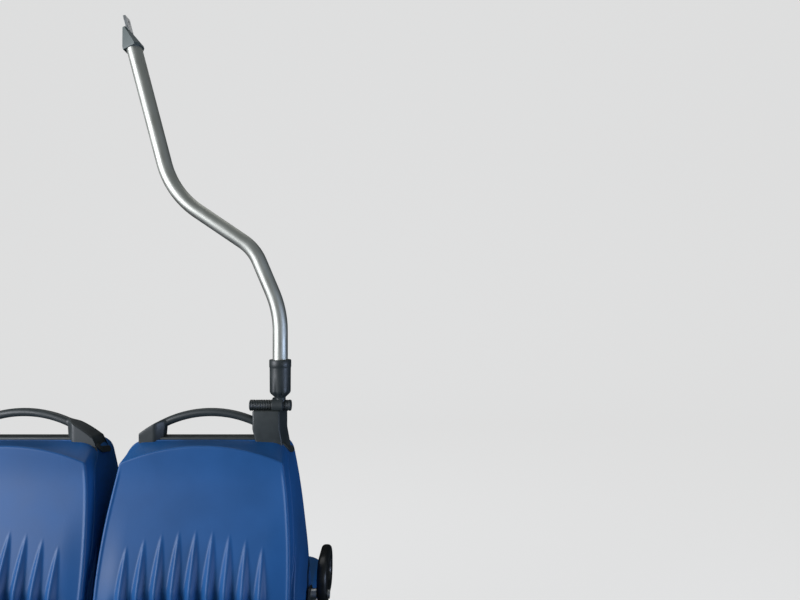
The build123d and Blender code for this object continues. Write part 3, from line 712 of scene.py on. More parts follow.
def cushion_height(form, half, x, y):
    """Height of the cushion's top: a dish between the side bolsters and the raised front.

    Under the back it is no higher than the seam.
    """
    front_start, front_end = form.dish_low + 40 * MM, form.pan_front - 22 * MM
    rear_end, step_before, step_after = 150 * MM, 1 * MM, 4 * MM
    inner = half - form.bolster_width
    aside = 1 - smoothstep(np.abs(x), inner - form.bolster_fade, inner)
    low = form.dish + (form.bolster - form.dish) * smoothstep(y, front_start, front_end)
    low = low + (form.seam - form.dish) * (1 - smoothstep(y, rear_end, form.dish_low))
    top = form.bolster + (low - form.bolster) * aside
    foot = form.wing_waist + WING_SLOPES[1] * (form.waist - form.seam)
    under_back = 1 - smoothstep(y, foot - step_before, foot + step_after)
    return top + (np.minimum(top, form.seam) - top) * under_back


def cushion_surface(form, half):
    """Points and faces of a cushion pan.

    The top is a grid in X and Y with its height from cushion_height. Its edge turns down through a
    quarter circle into upright walls, which turn in a little at the foot.
    """
    columns, rows, edge_steps, wall_steps, foot_steps = 81, 121, 8, 7, 4
    rear_share, round_start, round_end = 0.22, 268 * MM, 306 * MM
    foot_radius, foot_turn = 8 * MM, pi / 3

    rear = pan_rear(form)
    sides = four_sides(
        [(-half, rear), (half, rear), (half, form.pan_front), (-half, form.pan_front)],
        [form.pan_rear_corner, form.pan_rear_corner, form.pan_corner, form.pan_corner],
        [0, 1, 2, 3], [columns, rows, columns, rows])
    edge = loop_of(sides)
    out = outward_of(edge)
    radius = form.pan_edge * (rear_share + (1 - rear_share) * smoothstep(edge[:, 1], round_start, round_end))
    patch_loop = edge - out * radius[:, None]
    patch = fill_patch(patch_loop, columns, rows)
    patch = at_heights(patch, cushion_height(form, half, patch[..., 0], patch[..., 1]))
    top = cushion_height(form, half, patch_loop[:, 0], patch_loop[:, 1])
    rings = []
    for angle in np.linspace(0, pi / 2, edge_steps)[1:]:
        ring = patch_loop + out * (radius * sin(angle))[:, None]
        rings.append(np.column_stack([ring, top - radius * (1 - cos(angle))]))
    wall_top, wall_foot = top - radius, form.pan_bottom + foot_radius
    for t in np.linspace(0, 1, wall_steps)[1:]:
        rings.append(np.column_stack([edge, wall_top * (1 - t) + wall_foot * t]))
    for angle in np.linspace(0, foot_turn, foot_steps)[1:]:
        ring = edge - out * foot_radius * (1 - cos(angle))
        rings.append(np.column_stack([ring, np.full(len(edge), wall_foot - foot_radius * sin(angle))]))
    flat = edge - out * foot_radius
    rings.append(np.column_stack([flat, np.full(len(edge), form.pan_bottom)]))
    return tray(patch, rings)


def band_surface(form, centre_x):
    """Points and faces of a solid band under the pan, from the rails up to the inside of its top."""
    rear_gap, sunk, foot_round, corner, corner_steps = 10 * MM, 1 * MM, 2 * MM, 5 * MM, 5
    half_round = 0.6 * MM
    start, stop = pan_rear(form) + rear_gap, form.pan_front - form.pan_corner
    half = form.band_width / 2
    corners = np.array([[(centre_x - half, start), (centre_x + half, start),
                         (centre_x + half, stop), (centre_x - half, stop)]])
    top = form.dish - form.pan_wall + sunk
    foot = form.pan_bottom
    inset = np.array([foot_round, half_round, 0, 0])
    heights = np.array([foot, foot + half_round, foot + foot_round, top])
    towards = np.array([(1, 1), (-1, 1), (-1, -1), (1, -1)])
    corners = corners + inset[:, None, None] * towards[None]
    plan = rounded_rings(corners, np.full(corners.shape[:2], corner), corner_steps, [1, 12, 1, 12])
    return closed_tube(at_heights(plan, heights[:, None]))


# Form of the fittings


def grip_rings(sizes, start, stop):
    """Rings along X of the ringed grip: a core with rounded rings at an even pitch, and round ends.

    A hollow's depth is a cosine along the grip, sharpened by a hyperbolic tangent.
    """
    steps_along, steps_round, sharpness, fade = 361, 48, 2.2, 1 * MM
    nose_depth, nose_share = 2.5 * MM, 0.98
    radius = sizes.grip_diameter / 2
    x = np.linspace(0, stop - start, steps_along)
    from_end = np.minimum(x, stop - start - x)
    wave = np.cos(2 * pi * (x - sizes.grip_end) / sizes.ring_pitch)
    hollows = sizes.ring_depth * (0.5 - 0.5 * np.tanh(sharpness * wave) / np.tanh(sharpness))
    hollows = hollows * smoothstep(from_end, sizes.grip_end - fade, sizes.grip_end + fade)
    nose = np.clip(1 - from_end / sizes.grip_end, 0, 1)
    cap = nose_depth * (1 - np.sqrt(1 - nose ** 2 * nose_share))
    return laid_across(lathe(np.column_stack([radius - hollows - cap, x + start]), steps_round))


def bow_arc(sizes, x):
    """Height of the bow's outer arc at a place across the seat."""
    reach = sizes.bow_radius + sizes.bow_diameter / 2
    return sizes.bow_top - reach + np.sqrt(reach ** 2 - (x - sizes.bow_centre) ** 2)


def bow_rings(sizes, low, high, foot):
    """Rings across the seat of a bow and its solid ends: rectangles whose corners get round.

    The top follows the bow's arc. Over the slot a ring is as high as it is deep and its corners meet,
    so that the bow is round. Past a slot's end it reaches down to the foot, by a cubic step, and grows
    forward evenly to the shoulder, where the right-hand outer side stands out toward the foot.
    """
    even_steps, end_steps, end_inside, end_outside = 90, 24, 4 * MM, 12 * MM
    solid_start, spread_start, spread_end = -1 * MM, -4 * MM, 22 * MM
    drop_start, drop_past, left_drop = 2 * MM, 6 * MM, 0.2
    toe_start, toe_height = 20 * MM, 26 * MM
    least_radius, round_share, corner_steps = 0.2 * MM, 0.995, 8

    x = np.unique(np.concatenate([
        np.linspace(low, high, even_steps),
        np.linspace(sizes.slot_left - end_outside, sizes.slot_left + end_inside, end_steps),
        np.linspace(sizes.slot_right - end_inside, sizes.slot_right + end_outside, end_steps)]))
    x = x[(x >= low) & (x <= high)]
    past = np.maximum(sizes.slot_left - x, x - sizes.slot_right)
    end_length = sizes.right - sizes.slot_right
    solid = smoothstep(past, solid_start, sizes.slot_slant)
    spread = smoothstep(past, spread_start, spread_end)
    outward = np.clip(past / end_length, 0, 1)
    reach = sizes.bow_radius + sizes.bow_diameter / 2
    steepness = reach / np.sqrt(reach ** 2 - (x - sizes.bow_centre) ** 2)
    top = bow_arc(sizes, x)
    drop = sizes.end_drop * smoothstep(past, drop_start, end_length + drop_past)
    foot_here = foot - drop * np.where(x > 0, 1, left_drop)
    bottom = (1 - solid) * (top - sizes.bow_diameter * steepness) + solid * foot_here
    middle = sizes.bow_depth
    rear = middle - sizes.bow_diameter / 2
    rear = rear - spread * (rear - sizes.end_rear)
    front_end = sizes.end_front + outward * (sizes.end_front_outer - sizes.end_front)
    front = middle + sizes.bow_diameter / 2 + spread * (front_end - middle - sizes.bow_diameter / 2)
    corners = np.stack([
        np.stack([rear, bottom], -1), np.stack([front, bottom], -1),
        np.stack([front, top], -1), np.stack([rear, top], -1)], axis=1)
    lower = (1 - solid) * sizes.bow_diameter / 2 + least_radius
    upper = (1 - spread) * sizes.bow_diameter / 2 + spread * sizes.edge
    radii = np.stack([lower, lower, upper, upper], axis=1) * round_share
    rings = rounded_rings(corners, radii, corner_steps, [3, 3, 3, 3])
    down = np.clip((bow_arc(sizes, sizes.right) - rings[..., 1]) / toe_height, 0, 1)
    toe = sizes.end_toe * down * smoothstep(past, toe_start, end_length)[:, None]
    across = x[:, None] + toe * (x > 0)[:, None]
    return np.stack([across, rings[..., 0], rings[..., 1]], axis=-1)


def strip_rings(sizes, left, right, rear, foot):
    """Rings across the seat of the flat strip under the bow, its upper edges rounded."""
    sunk, end_edge, corner_steps = 2 * MM, 0.6, 8
    front, top, base = rear + sizes.strip_depth, foot + sizes.strip, foot - sunk
    section = np.array([[(rear, base), (front, base), (front, top), (rear, top)]])
    ring = rounded_rings(section, np.array([[0, 0, sizes.edge, sizes.edge]]), corner_steps, [2, 2, 2, 2])[0]
    x = np.array([left, left + end_edge * MM, right - end_edge * MM, right])
    shrink = np.array([end_edge, 0.0, 0.0, end_edge]) * MM
    middle = np.array([(rear + front) / 2, (foot + top) / 2])
    rings = ring[None] + np.sign(middle - ring)[None] * shrink[:, None, None]
    return np.concatenate([np.broadcast_to(x[:, None, None], rings.shape[:2] + (1,)), rings], axis=-1)


def lug_rings(sizes, centre_x, centre_z, radius, rear):
    """Rings of a curved strap on the right-hand shoulder: down along its rear, then forward in an arc.

    The strap's middle line is drawn on the unrolled shoulder, arc length against depth, and each ring
    stands across it, from just under the shoulder's surface outward. Its end is rounded off.
    """
    half = sizes.lug_width / 2
    start, bend, end = (0, half), (50 * MM, half), (57 * MM, 54 * MM)
    bend_radius, spacing = 16 * MM, 2 * MM
    tip_shares = np.array([0.98, 0.9, 0.7, 0.35])
    section = np.array([(-1, -0.5), (1, -0.5), (1, 0.8), (0.9, 1), (-0.9, 1), (-1, 0.8)])
    line = arc_path(np.array([start, bend, end]), [bend_radius], spacing)
    along = unit(np.gradient(line, axis=0))
    beside = np.stack([-along[:, 1], along[:, 0]], axis=-1)
    reach = np.full(len(line), half)
    reach[-len(tip_shares):] *= tip_shares
    flat = line[:, None] + beside[:, None] * reach[:, None, None] * section[None, :, :1]
    height = radius + section[None, :, 1] * sizes.lug_thickness
    angle = flat[..., 0] / radius
    return np.stack([
        centre_x + height * np.sin(angle), rear + flat[..., 1], centre_z + height * np.cos(angle)], axis=-1)


def block_rings(sizes, rear, foot):
    """Level rings of the tall block: it spreads over the shoulder below its knee, and its top is rounded."""
    spread_steps, corner_radius, corner_steps = 12, 4 * MM, 6
    top_edge, second_level, second_inset = 3 * MM, 1 * MM, 0.8 * MM
    fade_start, fade_past = 10 * MM, 5 * MM
    z = np.concatenate([
        np.linspace(foot, sizes.block_knee, spread_steps),
        [sizes.block_top - top_edge, sizes.block_top - second_level, sizes.block_top]])
    down = np.clip((sizes.block_knee - z) / (sizes.block_knee - foot), 0, 1)
    round_off = np.zeros_like(z)
    round_off[-2:] = (second_inset, top_edge)
    left = sizes.block_left + sizes.block_slant * down + round_off
    right = sizes.block_right + sizes.block_toe * down - round_off
    front = np.full_like(z, sizes.bow_depth + sizes.strip_depth / 2) - round_off
    back = np.full_like(z, rear) + round_off
    corners = np.stack([
        np.stack([left, back], -1), np.stack([right, back], -1),
        np.stack([right + sizes.block_flare, front], -1), np.stack([left, front], -1)], axis=1)
    rings = rounded_rings(corners, np.full(corners.shape[:2], corner_radius), corner_steps, [4, 4, 4, 4])
    aside = smoothstep(rings[..., 0], sizes.block_left + fade_start, sizes.block_right + fade_past)
    return at_heights(rings, z[:, None] - sizes.block_drop * aside * down[:, None])


def clamp_rings(sizes, start):
    """Rings along X of the clamp round the grip, its two rims rounded."""
    wall, rim, steps_round = 5 * MM, 1.2 * MM, 64
    radius, end = sizes.clamp_diameter / 2, start + sizes.clamp_width
    rows = [(radius - wall, start), (radius - rim, start), (radius, start + rim)]
    rows += [(radius, end - rim), (radius - rim, end), (radius - wall, end)]
    return laid_across(lathe(np.array(rows), steps_round))


# Corners of the ceiling collar's two ends in millimetres, across the tube and to its rear
COLLAR_FOOT = ((-23, 13), (10, 25), (20.5, 10))
COLLAR_TOP = ((-11, 12), (-6, 14), (-2, 12))


def collar_rings(path):
    """Rings of the faceted collar at the end of the stanchion: a six-cornered skirt and a narrow top.

    The corners of both ends are mirrored from the tube's rear to its front.
    """
    overlap, height, skirt, straight_points = 4 * MM, 48 * MM, 6 * MM, 20
    forward = np.array([0.0, 1.0, 0.0])
    along = unit(path[-1] - path[-straight_points])
    base, top = path[-1] - along * overlap, path[-1] + along * height
    side = unit(np.cross(along, forward))
    side = side * np.sign(side[0])
    rings = []
    for corners, place in ((COLLAR_FOOT, base), (COLLAR_FOOT, base + along * skirt), (COLLAR_TOP, top)):
        half = np.array(corners) * MM
        whole_ring = np.concatenate([half * [1, -1], half[::-1]])
        rings.append(place + whole_ring[:, :1] * side + whole_ring[:, 1:] * forward)
    return np.array(rings)


def socket_rings(sizes, foot, top):
    """Rings of the stanchion's socket: a neck, a finned taper, a plain barrel and a deep lip at the top.

    The taper widens by a power of a sine. Its radius also follows the angle, by the square of a
    raised cosine, so that fins stand between hollows.
    """
    steps_round, taper_steps, taper_start, taper_power = 120, 9, 0.15, 1.3
    foot_edge, barrel_edge, lip_rise = 1.2 * MM, 2 * MM, 1 * MM
    barrel_swell, upper_swell = 0.2 * MM, 0.3 * MM
    lip_step, lip_drop, lip_round = 0.6 * MM, 1.5 * MM, 1 * MM
    mouth_round, tube_gap, mouth_depth = 1.1 * MM, 0.3 * MM, 30 * MM
    fin_depth, fin_reach = 0.13, 1.15

    neck, wide, tube = sizes.socket_neck / 2, sizes.socket_diameter / 2, sizes.tube_diameter / 2
    taper_foot = foot + sizes.socket_neck_height
    barrel = taper_foot + sizes.socket_taper
    lip_foot = top - sizes.socket_lip_height
    lip = wide + sizes.socket_lip
    rows = [(neck - foot_edge, foot), (neck, foot + foot_edge), (neck, taper_foot)]
    for t in np.linspace(taper_start, 1, taper_steps):
        radius = neck + (wide - neck) * sin(pi / 2 * t) ** taper_power
        rows.append((radius, taper_foot + sizes.socket_taper * t))
    rows += [(wide, barrel + barrel_edge), (wide + barrel_swell, (barrel + top) / 2)]
    rows += [(wide + upper_swell, lip_foot - barrel_edge), (lip - lip_step, lip_foot)]
    rows += [(lip, lip_foot + lip_rise), (lip, top - lip_drop), (lip - lip_round, top)]
    rows += [(tube + mouth_round, top), (tube + tube_gap, top - lip_round)]
    rows += [(tube + tube_gap, top - mouth_depth)]
    profile = np.array(rows)
    rings = lathe(profile, steps_round)
    angle = np.linspace(0, 2 * pi, steps_round, endpoint=False)
    fins = (0.5 + 0.5 * np.cos(sizes.socket_fins * angle)) ** 2
    reach = np.sin(pi * np.clip((profile[:, 1] - taper_foot) / (fin_reach * sizes.socket_taper), 0, 1))
    reach[(profile[:, 0] < neck) | (profile[:, 1] > barrel)] = 0
    rings[..., :2] *= (1 - fin_depth * reach[:, None] * fins[None])[..., None]
    return rings


def arc_path(corners, radii, spacing):
    """Evenly spaced points of an open path: straight runs between corners, with an arc at each one."""
    arc_steps = 40
    t = np.linspace(0, 1, arc_steps)[:, None]
    path = [corners[:1]]
    for before, corner, after, radius in zip(corners, corners[1:], corners[2:], radii):
        way_in, way_out = unit(corner - before), unit(after - corner)
        half_turn = np.arccos(np.clip(way_in @ way_out, -1, 1)) / 2
        reach = radius * tan(half_turn)
        path.append(corner_arc(corner - way_in * reach, corner, corner + way_out * reach, cos(half_turn), t))
    path.append(corners[-1:])
    path = np.concatenate(path)
    total = np.linalg.norm(np.diff(path, axis=0), axis=1).sum()
    return resample(path, int(total / spacing) + 1)


def stanchion_path(form, sizes):
    """Centre line of the stanchion: up from the socket, two bends toward the wall, one to the ceiling."""
    turns = np.array([(sizes.tube_place / MM, 1226), (103, 1375), (-94, 1508)]) * MM
    top = np.array([-186, 1860]) * MM
    bend_radii, spacing = [240 * MM, 110 * MM, 200 * MM], 5 * MM
    seat_x = seat_place(form, "aisle_seat")[0]
    low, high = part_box("stanchion_socket")
    y = (low.y + high.y) / 2
    rows = [(seat_x + turns[0, 0], y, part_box("stanchion_tube")[0].z)]
    rows += [(seat_x + x, y, z) for x, z in turns]
    rows += [(seat_x + top[0], y, top[1])]
    return arc_path(np.array(rows), bend_radii, spacing)


def tube_along(path, radius, steps):
    """Rings of a round tube along a path in one plane of constant Y, and the places of its texture.

    These are in metres: half way round from one side, mirrored on the other, and along the path.
    """
    along = unit(np.gradient(path, axis=0))
    side = np.array([0.0, 1.0, 0.0])
    up = unit(np.cross(along, side))
    angle = np.linspace(0, 2 * pi, steps, endpoint=False)[None, :, None]
    rings = path[:, None] + radius * (np.cos(angle) * side + np.sin(angle) * up[:, None])
    run = np.concatenate([[0], np.cumsum(np.linalg.norm(np.diff(path, axis=0), axis=1))])
    around = np.broadcast_to(np.abs(angle[0, :, 0] - pi) * radius, (len(path), steps))
    uv = np.stack([around, np.broadcast_to(run[:, None], around.shape)], -1)
    return rings, uv.reshape(-1, 2)


def loop_rings(sizes, low, high):
    """Rings of the armrest: a superellipse section carried round a path with four round corners."""
    power, section_steps, corner_steps, run_steps = 2.7, 40, 24, 8
    depth = high[0] - low[0]
    rim = sizes.loop_rim
    length_y, height_z = high[1] - low[1] - rim, high[2] - low[2] - rim
    corner = sizes.loop_corner - rim / 2
    rectangle = np.array([[(-length_y / 2, -height_z / 2), (length_y / 2, -height_z / 2),
                           (length_y / 2, height_z / 2), (-length_y / 2, height_z / 2)]])
    ring = rounded_rings(rectangle, np.full((1, 4), corner), corner_steps, [run_steps] * 4)[0]
    out = outward_of(ring)
    angle = np.linspace(0, 2 * pi, section_steps, endpoint=False)
    c, s = np.cos(angle), np.sin(angle)
    reach = (np.abs(c) ** power + np.abs(s) ** power) ** (-1 / power)
    across, outside = depth / 2 * reach * c, rim / 2 * reach * s
    centre = (low + high) / 2
    plane = ring[:, None] + out[:, None] * outside[None, :, None]
    x = np.broadcast_to(centre[0] + across, plane.shape[:2])
    return np.stack([x, centre[1] + plane[..., 0], centre[2] + plane[..., 1]], axis=-1)


def hexagon_rings(across_flats, height):
    """Rings of a hexagon bolt head on its washer, its upper corners cut off.

    The head's radius is that of its flats, divided by the cosine of the angle from a flat's middle.
    """
    steps_round, washer_share, bevel = 72, 1.35, 0.98
    washer_side, washer_top, head_side, cut = 0.22, 0.26, 0.88, 0.97
    angle = np.linspace(0, 2 * pi, steps_round, endpoint=False)
    hexagon = 1 / np.cos(np.mod(angle, pi / 3) - pi / 6)
    circle = np.ones_like(hexagon)
    flat = across_flats / 2
    washer = washer_share * flat
    levels = [(washer, 0, circle), (washer, washer_side, circle), (washer * bevel, washer_top, circle),
              (flat, washer_top, hexagon), (flat, head_side, hexagon), (flat * cut, 1, circle)]
    rings = []
    for radius, level, outline in levels:
        reach = radius * outline
        rise = np.full(steps_round, level * height)
        rings.append(np.column_stack([reach * np.cos(angle), reach * np.sin(angle), rise]))
    return np.array(rings)


def stand_on(rings, place, normal):
    """Rings drawn around Z, moved to a place and turned so that Z follows a normal."""
    turned = np.array(Vector(normal).to_track_quat("Z", "Y").to_matrix())
    return rings @ turned.T + np.array(place)


# Finishes


def add_node(tree, kind, settings=None, inputs=None):
    """A node with its settings, and with its inputs set to values or linked to other nodes' sockets."""
    node = tree.nodes.new(kind)
    for key, value in (settings or {}).items():
        setattr(node, key, value)
    for key, value in (inputs or {}).items():
        if isinstance(value, bpy.types.NodeSocket):
            tree.links.new(value, node.inputs[key])
        else:
            node.inputs[key].default_value = value
    return node


def new_finish(name):
    """An empty node material and its output's surface socket."""
    material = bpy.data.materials.new(name)
    material.use_nodes = True
    material.node_tree.nodes.clear()
    output = add_node(material.node_tree, "ShaderNodeOutputMaterial")
    return material, material.node_tree, output.inputs["Surface"]


def shade(colour_value, factor):
    """A colour made lighter or darker."""
    return (*[min(1.0, part * factor) for part in colour_value[:3]], 1.0)


def clouded_finish(name, colour_value, clouds, tones, rough, look, grain=None, soft_edge=None):
    """A finish of one colour toned by clouds of noise, with a grain in relief and softened edges.

    Clouds are given by the inputs of their noise, tones by the factors of the colour that they mix,
    and rough by the roughness where the noise is at 0.3 and at 0.7, or by one number. A grain has its
    texture node, that node's inputs and output, and the strength and height of its relief. A soft
    edge has its samples and its radius. Look holds the shader's other inputs.
    """
    material, tree, surface = new_finish(name)
    place = add_node(tree, "ShaderNodeTexCoord").outputs["Object"]
    cloud = add_node(tree, "ShaderNodeTexNoise", inputs={"Vector": place, **clouds}).outputs["Fac"]
    base = add_node(tree, "ShaderNodeMix", {"data_type": "RGBA"}, {
        0: cloud, 6: shade(colour_value, tones[0]), 7: shade(colour_value, tones[1])})
    if isinstance(rough, tuple):
        rough = add_node(tree, "ShaderNodeMapRange", inputs={
            "Value": cloud, "From Min": 0.3, "From Max": 0.7,
            "To Min": rough[0], "To Max": rough[1]}).outputs["Result"]
    normal = {}
    if soft_edge:
        samples, radius = soft_edge
        bevel = add_node(tree, "ShaderNodeBevel", {"samples": samples}, {"Radius": radius})
        normal = {"Normal": bevel.outputs["Normal"]}
    if grain:
        kind, texture, output, strength, height = grain
        relief = add_node(tree, kind, inputs={"Vector": place, **texture})
        bump = add_node(tree, "ShaderNodeBump", inputs={
            "Height": relief.outputs[output], "Strength": strength, "Distance": height, **normal})
        normal = {"Normal": bump.outputs["Normal"]}
    shader = add_node(tree, "ShaderNodeBsdfPrincipled", inputs={
        "Base Color": base.outputs[2], "Roughness": rough, **normal, **look})
    tree.links.new(shader.outputs["BSDF"], surface)
    return material


def moulded_seat_plastic(colours):
    """Injection-moulded polypropylene, spark-eroded tool: a soft sheen over a fine, even grain.

    The grain of the tool is about 0.4 mm and is drawn at 1.1 mm so that it shows. Broad pale clouds
    are the bloom that sun and cleaning leave on it, and fine short scratches show paler.
    """
    material, tree, surface = new_finish("moulded_polypropylene_blue")
    place = add_node(tree, "ShaderNodeTexCoord").outputs["Object"]
    bloom = add_node(tree, "ShaderNodeTexNoise", inputs={
        "Vector": place, "Scale": 1 / (150 * MM), "Detail": 3.0, "Roughness": 0.45})
    bloom_amount = add_node(tree, "ShaderNodeMapRange", inputs={
        "Value": bloom.outputs["Fac"], "From Min": 0.35, "From Max": 0.7, "To Min": 0.0, "To Max": 1.0})
    base = add_node(tree, "ShaderNodeMix", {"data_type": "RGBA"}, {
        0: bloom_amount.outputs["Result"], 6: shade(colours.shell, 0.9), 7: shade(colours.shell, 1.14)})
    scratch_place = add_node(tree, "ShaderNodeMapping", inputs={
        "Vector": place, "Scale": (1 / (1.4 * MM), 1 / (9 * MM), 1 / (60 * MM)),
        "Rotation": (0.1, 0.35, 0.2)})
    scratches = add_node(tree, "ShaderNodeTexNoise", inputs={
        "Vector": scratch_place.outputs["Vector"], "Scale": 1.0, "Detail": 2.0})
    scratch_amount = add_node(tree, "ShaderNodeMapRange", inputs={
        "Value": scratches.outputs["Fac"], "From Min": 0.68, "From Max": 0.78,
        "To Min": 0.0, "To Max": 0.16})
    worn = add_node(tree, "ShaderNodeMix", {"data_type": "RGBA"}, {
        0: scratch_amount.outputs["Result"], 6: base.outputs[2], 7: shade(colours.shell, 2.1)})
    grain = add_node(tree, "ShaderNodeTexNoise", inputs={
        "Vector": place, "Scale": 1 / (1.1 * MM), "Detail": 2.0, "Roughness": 0.6})
    bump = add_node(tree, "ShaderNodeBump", inputs={
        "Height": grain.outputs["Fac"], "Strength": 0.35, "Distance": 0.12 * MM})
    rough = add_node(tree, "ShaderNodeMapRange", inputs={
        "Value": bloom.outputs["Fac"], "From Min": 0.3, "From Max": 0.7, "To Min": 0.42, "To Max": 0.52})
    shader = add_node(tree, "ShaderNodeBsdfPrincipled", inputs={
        "Base Color": worn.outputs[2], "Roughness": rough.outputs["Result"],
        "Normal": bump.outputs["Normal"], "IOR": 1.49, "Specular IOR Level": 0.32})
    tree.links.new(shader.outputs["BSDF"], surface)
    return material


def handle_nylon(colours):
    """Glass-filled nylon, moulded: charcoal with a greenish cast, dull, with a fine, even grain.

    Noise makes it paler and duller in places, as where hands hold it, and its edges look softened.
    """
    return clouded_finish(
        "moulded_nylon_charcoal", colours.handle,
        clouds={"Scale": 1 / (34 * MM), "Detail": 4.0, "Roughness": 0.55},
        tones=(0.78, 1.3), rough=(0.38, 0.55), look={"IOR": 1.53},
        grain=("ShaderNodeTexNoise", {"Scale": 1 / (0.9 * MM), "Detail": 2.0}, "Fac", 0.4, 0.12 * MM),
        soft_edge=(6, 1.6 * MM))


def ground_stainless(colours):
    """Stainless tube, belt-ground along its length: satin steel with fine lines that follow the tube.

    The belt's 240 grit leaves lines about 0.06 mm apart, drawn at 0.7 mm so that they show. They read
    the tube's own UV map, which is in metres.
    """
    material, tree, surface = new_finish("ground_stainless_tube")
    place = add_node(tree, "ShaderNodeUVMap", {"uv_map": "UVMap"}).outputs["UV"]
    stretched = add_node(tree, "ShaderNodeMapping", inputs={
        "Vector": place, "Scale": (1 / (0.7 * MM), 1 / (90 * MM), 1.0)})
    lines = add_node(tree, "ShaderNodeTexNoise", inputs={
        "Vector": stretched.outputs["Vector"], "Scale": 1.0, "Detail": 3.0, "Roughness": 0.7})
    smears = add_node(tree, "ShaderNodeTexNoise", inputs={
        "Vector": place, "Scale": 1 / (45 * MM), "Detail": 3.0})
    tone = add_node(tree, "ShaderNodeMix", {"data_type": "RGBA"}, {
        0: lines.outputs["Fac"], 6: shade(colours.steel, 0.84), 7: shade(colours.steel, 1.1)})
    bump = add_node(tree, "ShaderNodeBump", inputs={
        "Height": lines.outputs["Fac"], "Strength": 0.25, "Distance": 0.05 * MM})
    rough = add_node(tree, "ShaderNodeMapRange", inputs={
        "Value": smears.outputs["Fac"], "From Min": 0.3, "From Max": 0.7, "To Min": 0.42, "To Max": 0.56})
    shader = add_node(tree, "ShaderNodeBsdfPrincipled", inputs={
        "Base Color": tone.outputs[2], "Metallic": 1.0, "Roughness": rough.outputs["Result"],
        "Normal": bump.outputs["Normal"]})
    tree.links.new(shader.outputs["BSDF"], surface)
    return material


def collar_abs(colours):
    """ABS, moulded in mid grey: even and slightly dull, with faint dust in its grain."""
    return clouded_finish(
        "moulded_abs_grey", colours.collar,
        clouds={"Scale": 1 / (16 * MM), "Detail": 4.0},
        tones=(0.88, 1.12), rough=0.48, look={"IOR": 1.54},
        grain=("ShaderNodeTexNoise", {"Scale": 1 / (0.8 * MM)}, "Fac", 0.3, 0.1 * MM))


def powder_coat(colours):
    """Polyester powder coat, baked on steel: dark grey with a slight orange peel about 2.5 mm wide."""
    return clouded_finish(
        "powder_coated_steel", colours.paint,
        clouds={"Scale": 1 / (60 * MM), "Detail": 5.0, "Roughness": 0.6},
        tones=(0.8, 1.35), rough=(0.34, 0.5), look={"IOR": 1.5},
        grain=("ShaderNodeTexNoise", {"Scale": 1 / (2.5 * MM), "Detail": 1.0}, "Fac", 0.3, 0.1 * MM),
        soft_edge=(6, 1.5 * MM))


def zinc_plate(colours):
    """Bright zinc plate on steel: cool grey metal, faintly mottled by handling."""
    return clouded_finish(
        "zinc_plated_steel", colours.zinc,
        clouds={"Scale": 1 / (6 * MM), "Detail": 4.0},
        tones=(0.75, 1.1), rough=(0.28, 0.44), look={"Metallic": 1.0}, soft_edge=(4, 0.6 * MM))


def armrest_skin(colours):
    """Integral-skin polyurethane foam, moulded: black, softly shining, with a shallow pebble of 1.6 mm."""
    return clouded_finish(
        "integral_skin_foam_black", colours.loop,
        clouds={"Scale": 1 / (40 * MM), "Detail": 3.0},
        tones=(0.8, 1.5), rough=(0.26, 0.42), look={"IOR": 1.5},
        grain=("ShaderNodeTexVoronoi", {"Scale": 1 / (1.6 * MM)}, "Distance", 0.25, 0.15 * MM))


FINISHES = {
    "blue_plastic": moulded_seat_plastic,
    "dark_plastic": handle_nylon,
    "stainless_tube": ground_stainless,
    "collar_grey": collar_abs,
    "frame_paint": powder_coat,
    "zinc_steel": zinc_plate,
    "armrest_black": armrest_skin,
}
made_finishes = {}


def finish(context, slot_name):
    """The finish of a material slot, made once."""
    if slot_name not in made_finishes:
        made_finishes[slot_name] = FINISHES[slot_name](context.scene.bus_seat_colours)
    return made_finishes[slot_name]


def seat_piece(context, name, surface, slot_name, *nodes, body="seat", wall=None, **looks):
    """Makes a piece from its points and faces, in its finish, on its body and in its material slot.

    It may get a wall, and stands for the nodes that are named.
    """
    piece = add_piece(name, *surface, finish(context, slot_name), **looks)
    if wall:
        give_wall(piece, wall)
    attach(piece, body)
    if nodes:
        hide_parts(*nodes)


# Operators


class SEAT_OT_rear_panels(bpy.types.Operator):
    """Makes the ribbed panels behind both backs"""

    bl_idname = "bus_seat.rear_panels"
    bl_label = "Rear panels"

    def execute(self, context):
        form = context.scene.bus_seat_form
        points, faces = panel_surface(form, shell_half())
        for seat in SEATS:
            surface = points + seat_place(form, seat), faces
            seat_piece(context, f"{seat}_ribbed_panel", surface, "blue_plastic", f"{seat}_rear_panel",
                       wall=form.panel_wall, facing=(0, -1, 0))
        return {"FINISHED"}


class SEAT_OT_back_shells(bpy.types.Operator):
    """Makes the moulded backs with their side wings"""

    bl_idname = "bus_seat.back_shells"
    bl_label = "Back shells"

    def execute(self, context):
        form = context.scene.bus_seat_form
        points, faces = closed_tube(back_rings(form, shell_half()))
        for seat in SEATS:
            surface = points + seat_place(form, seat), faces
            seat_piece(context, f"{seat}_moulded_back", surface, "blue_plastic", f"{seat}_back_shell")
        return {"FINISHED"}


class SEAT_OT_cushion_pans(bpy.types.Operator):
    """Makes the moulded cushions and the bands that carry them"""

    bl_idname = "bus_seat.cushion_pans"
    bl_label = "Cushion pans"

    def execute(self, context):
        form = context.scene.bus_seat_form
        points, faces = cushion_surface(form, shell_half())
        for seat in SEATS:
            place = seat_place(form, seat)
            seat_piece(context, f"{seat}_moulded_cushion", (points + place, faces), "blue_plastic",
                       f"{seat}_cushion_pan", wall=form.pan_wall, facing=(0, 0, 1))
            for side, sign in (("left", -1), ("right", 1)):
                band_points, band_faces = band_surface(form, sign * form.band_offset)
                seat_piece(context, f"{seat}_{side}_band", (band_points + place, band_faces), "blue_plastic")
        return {"FINISHED"}


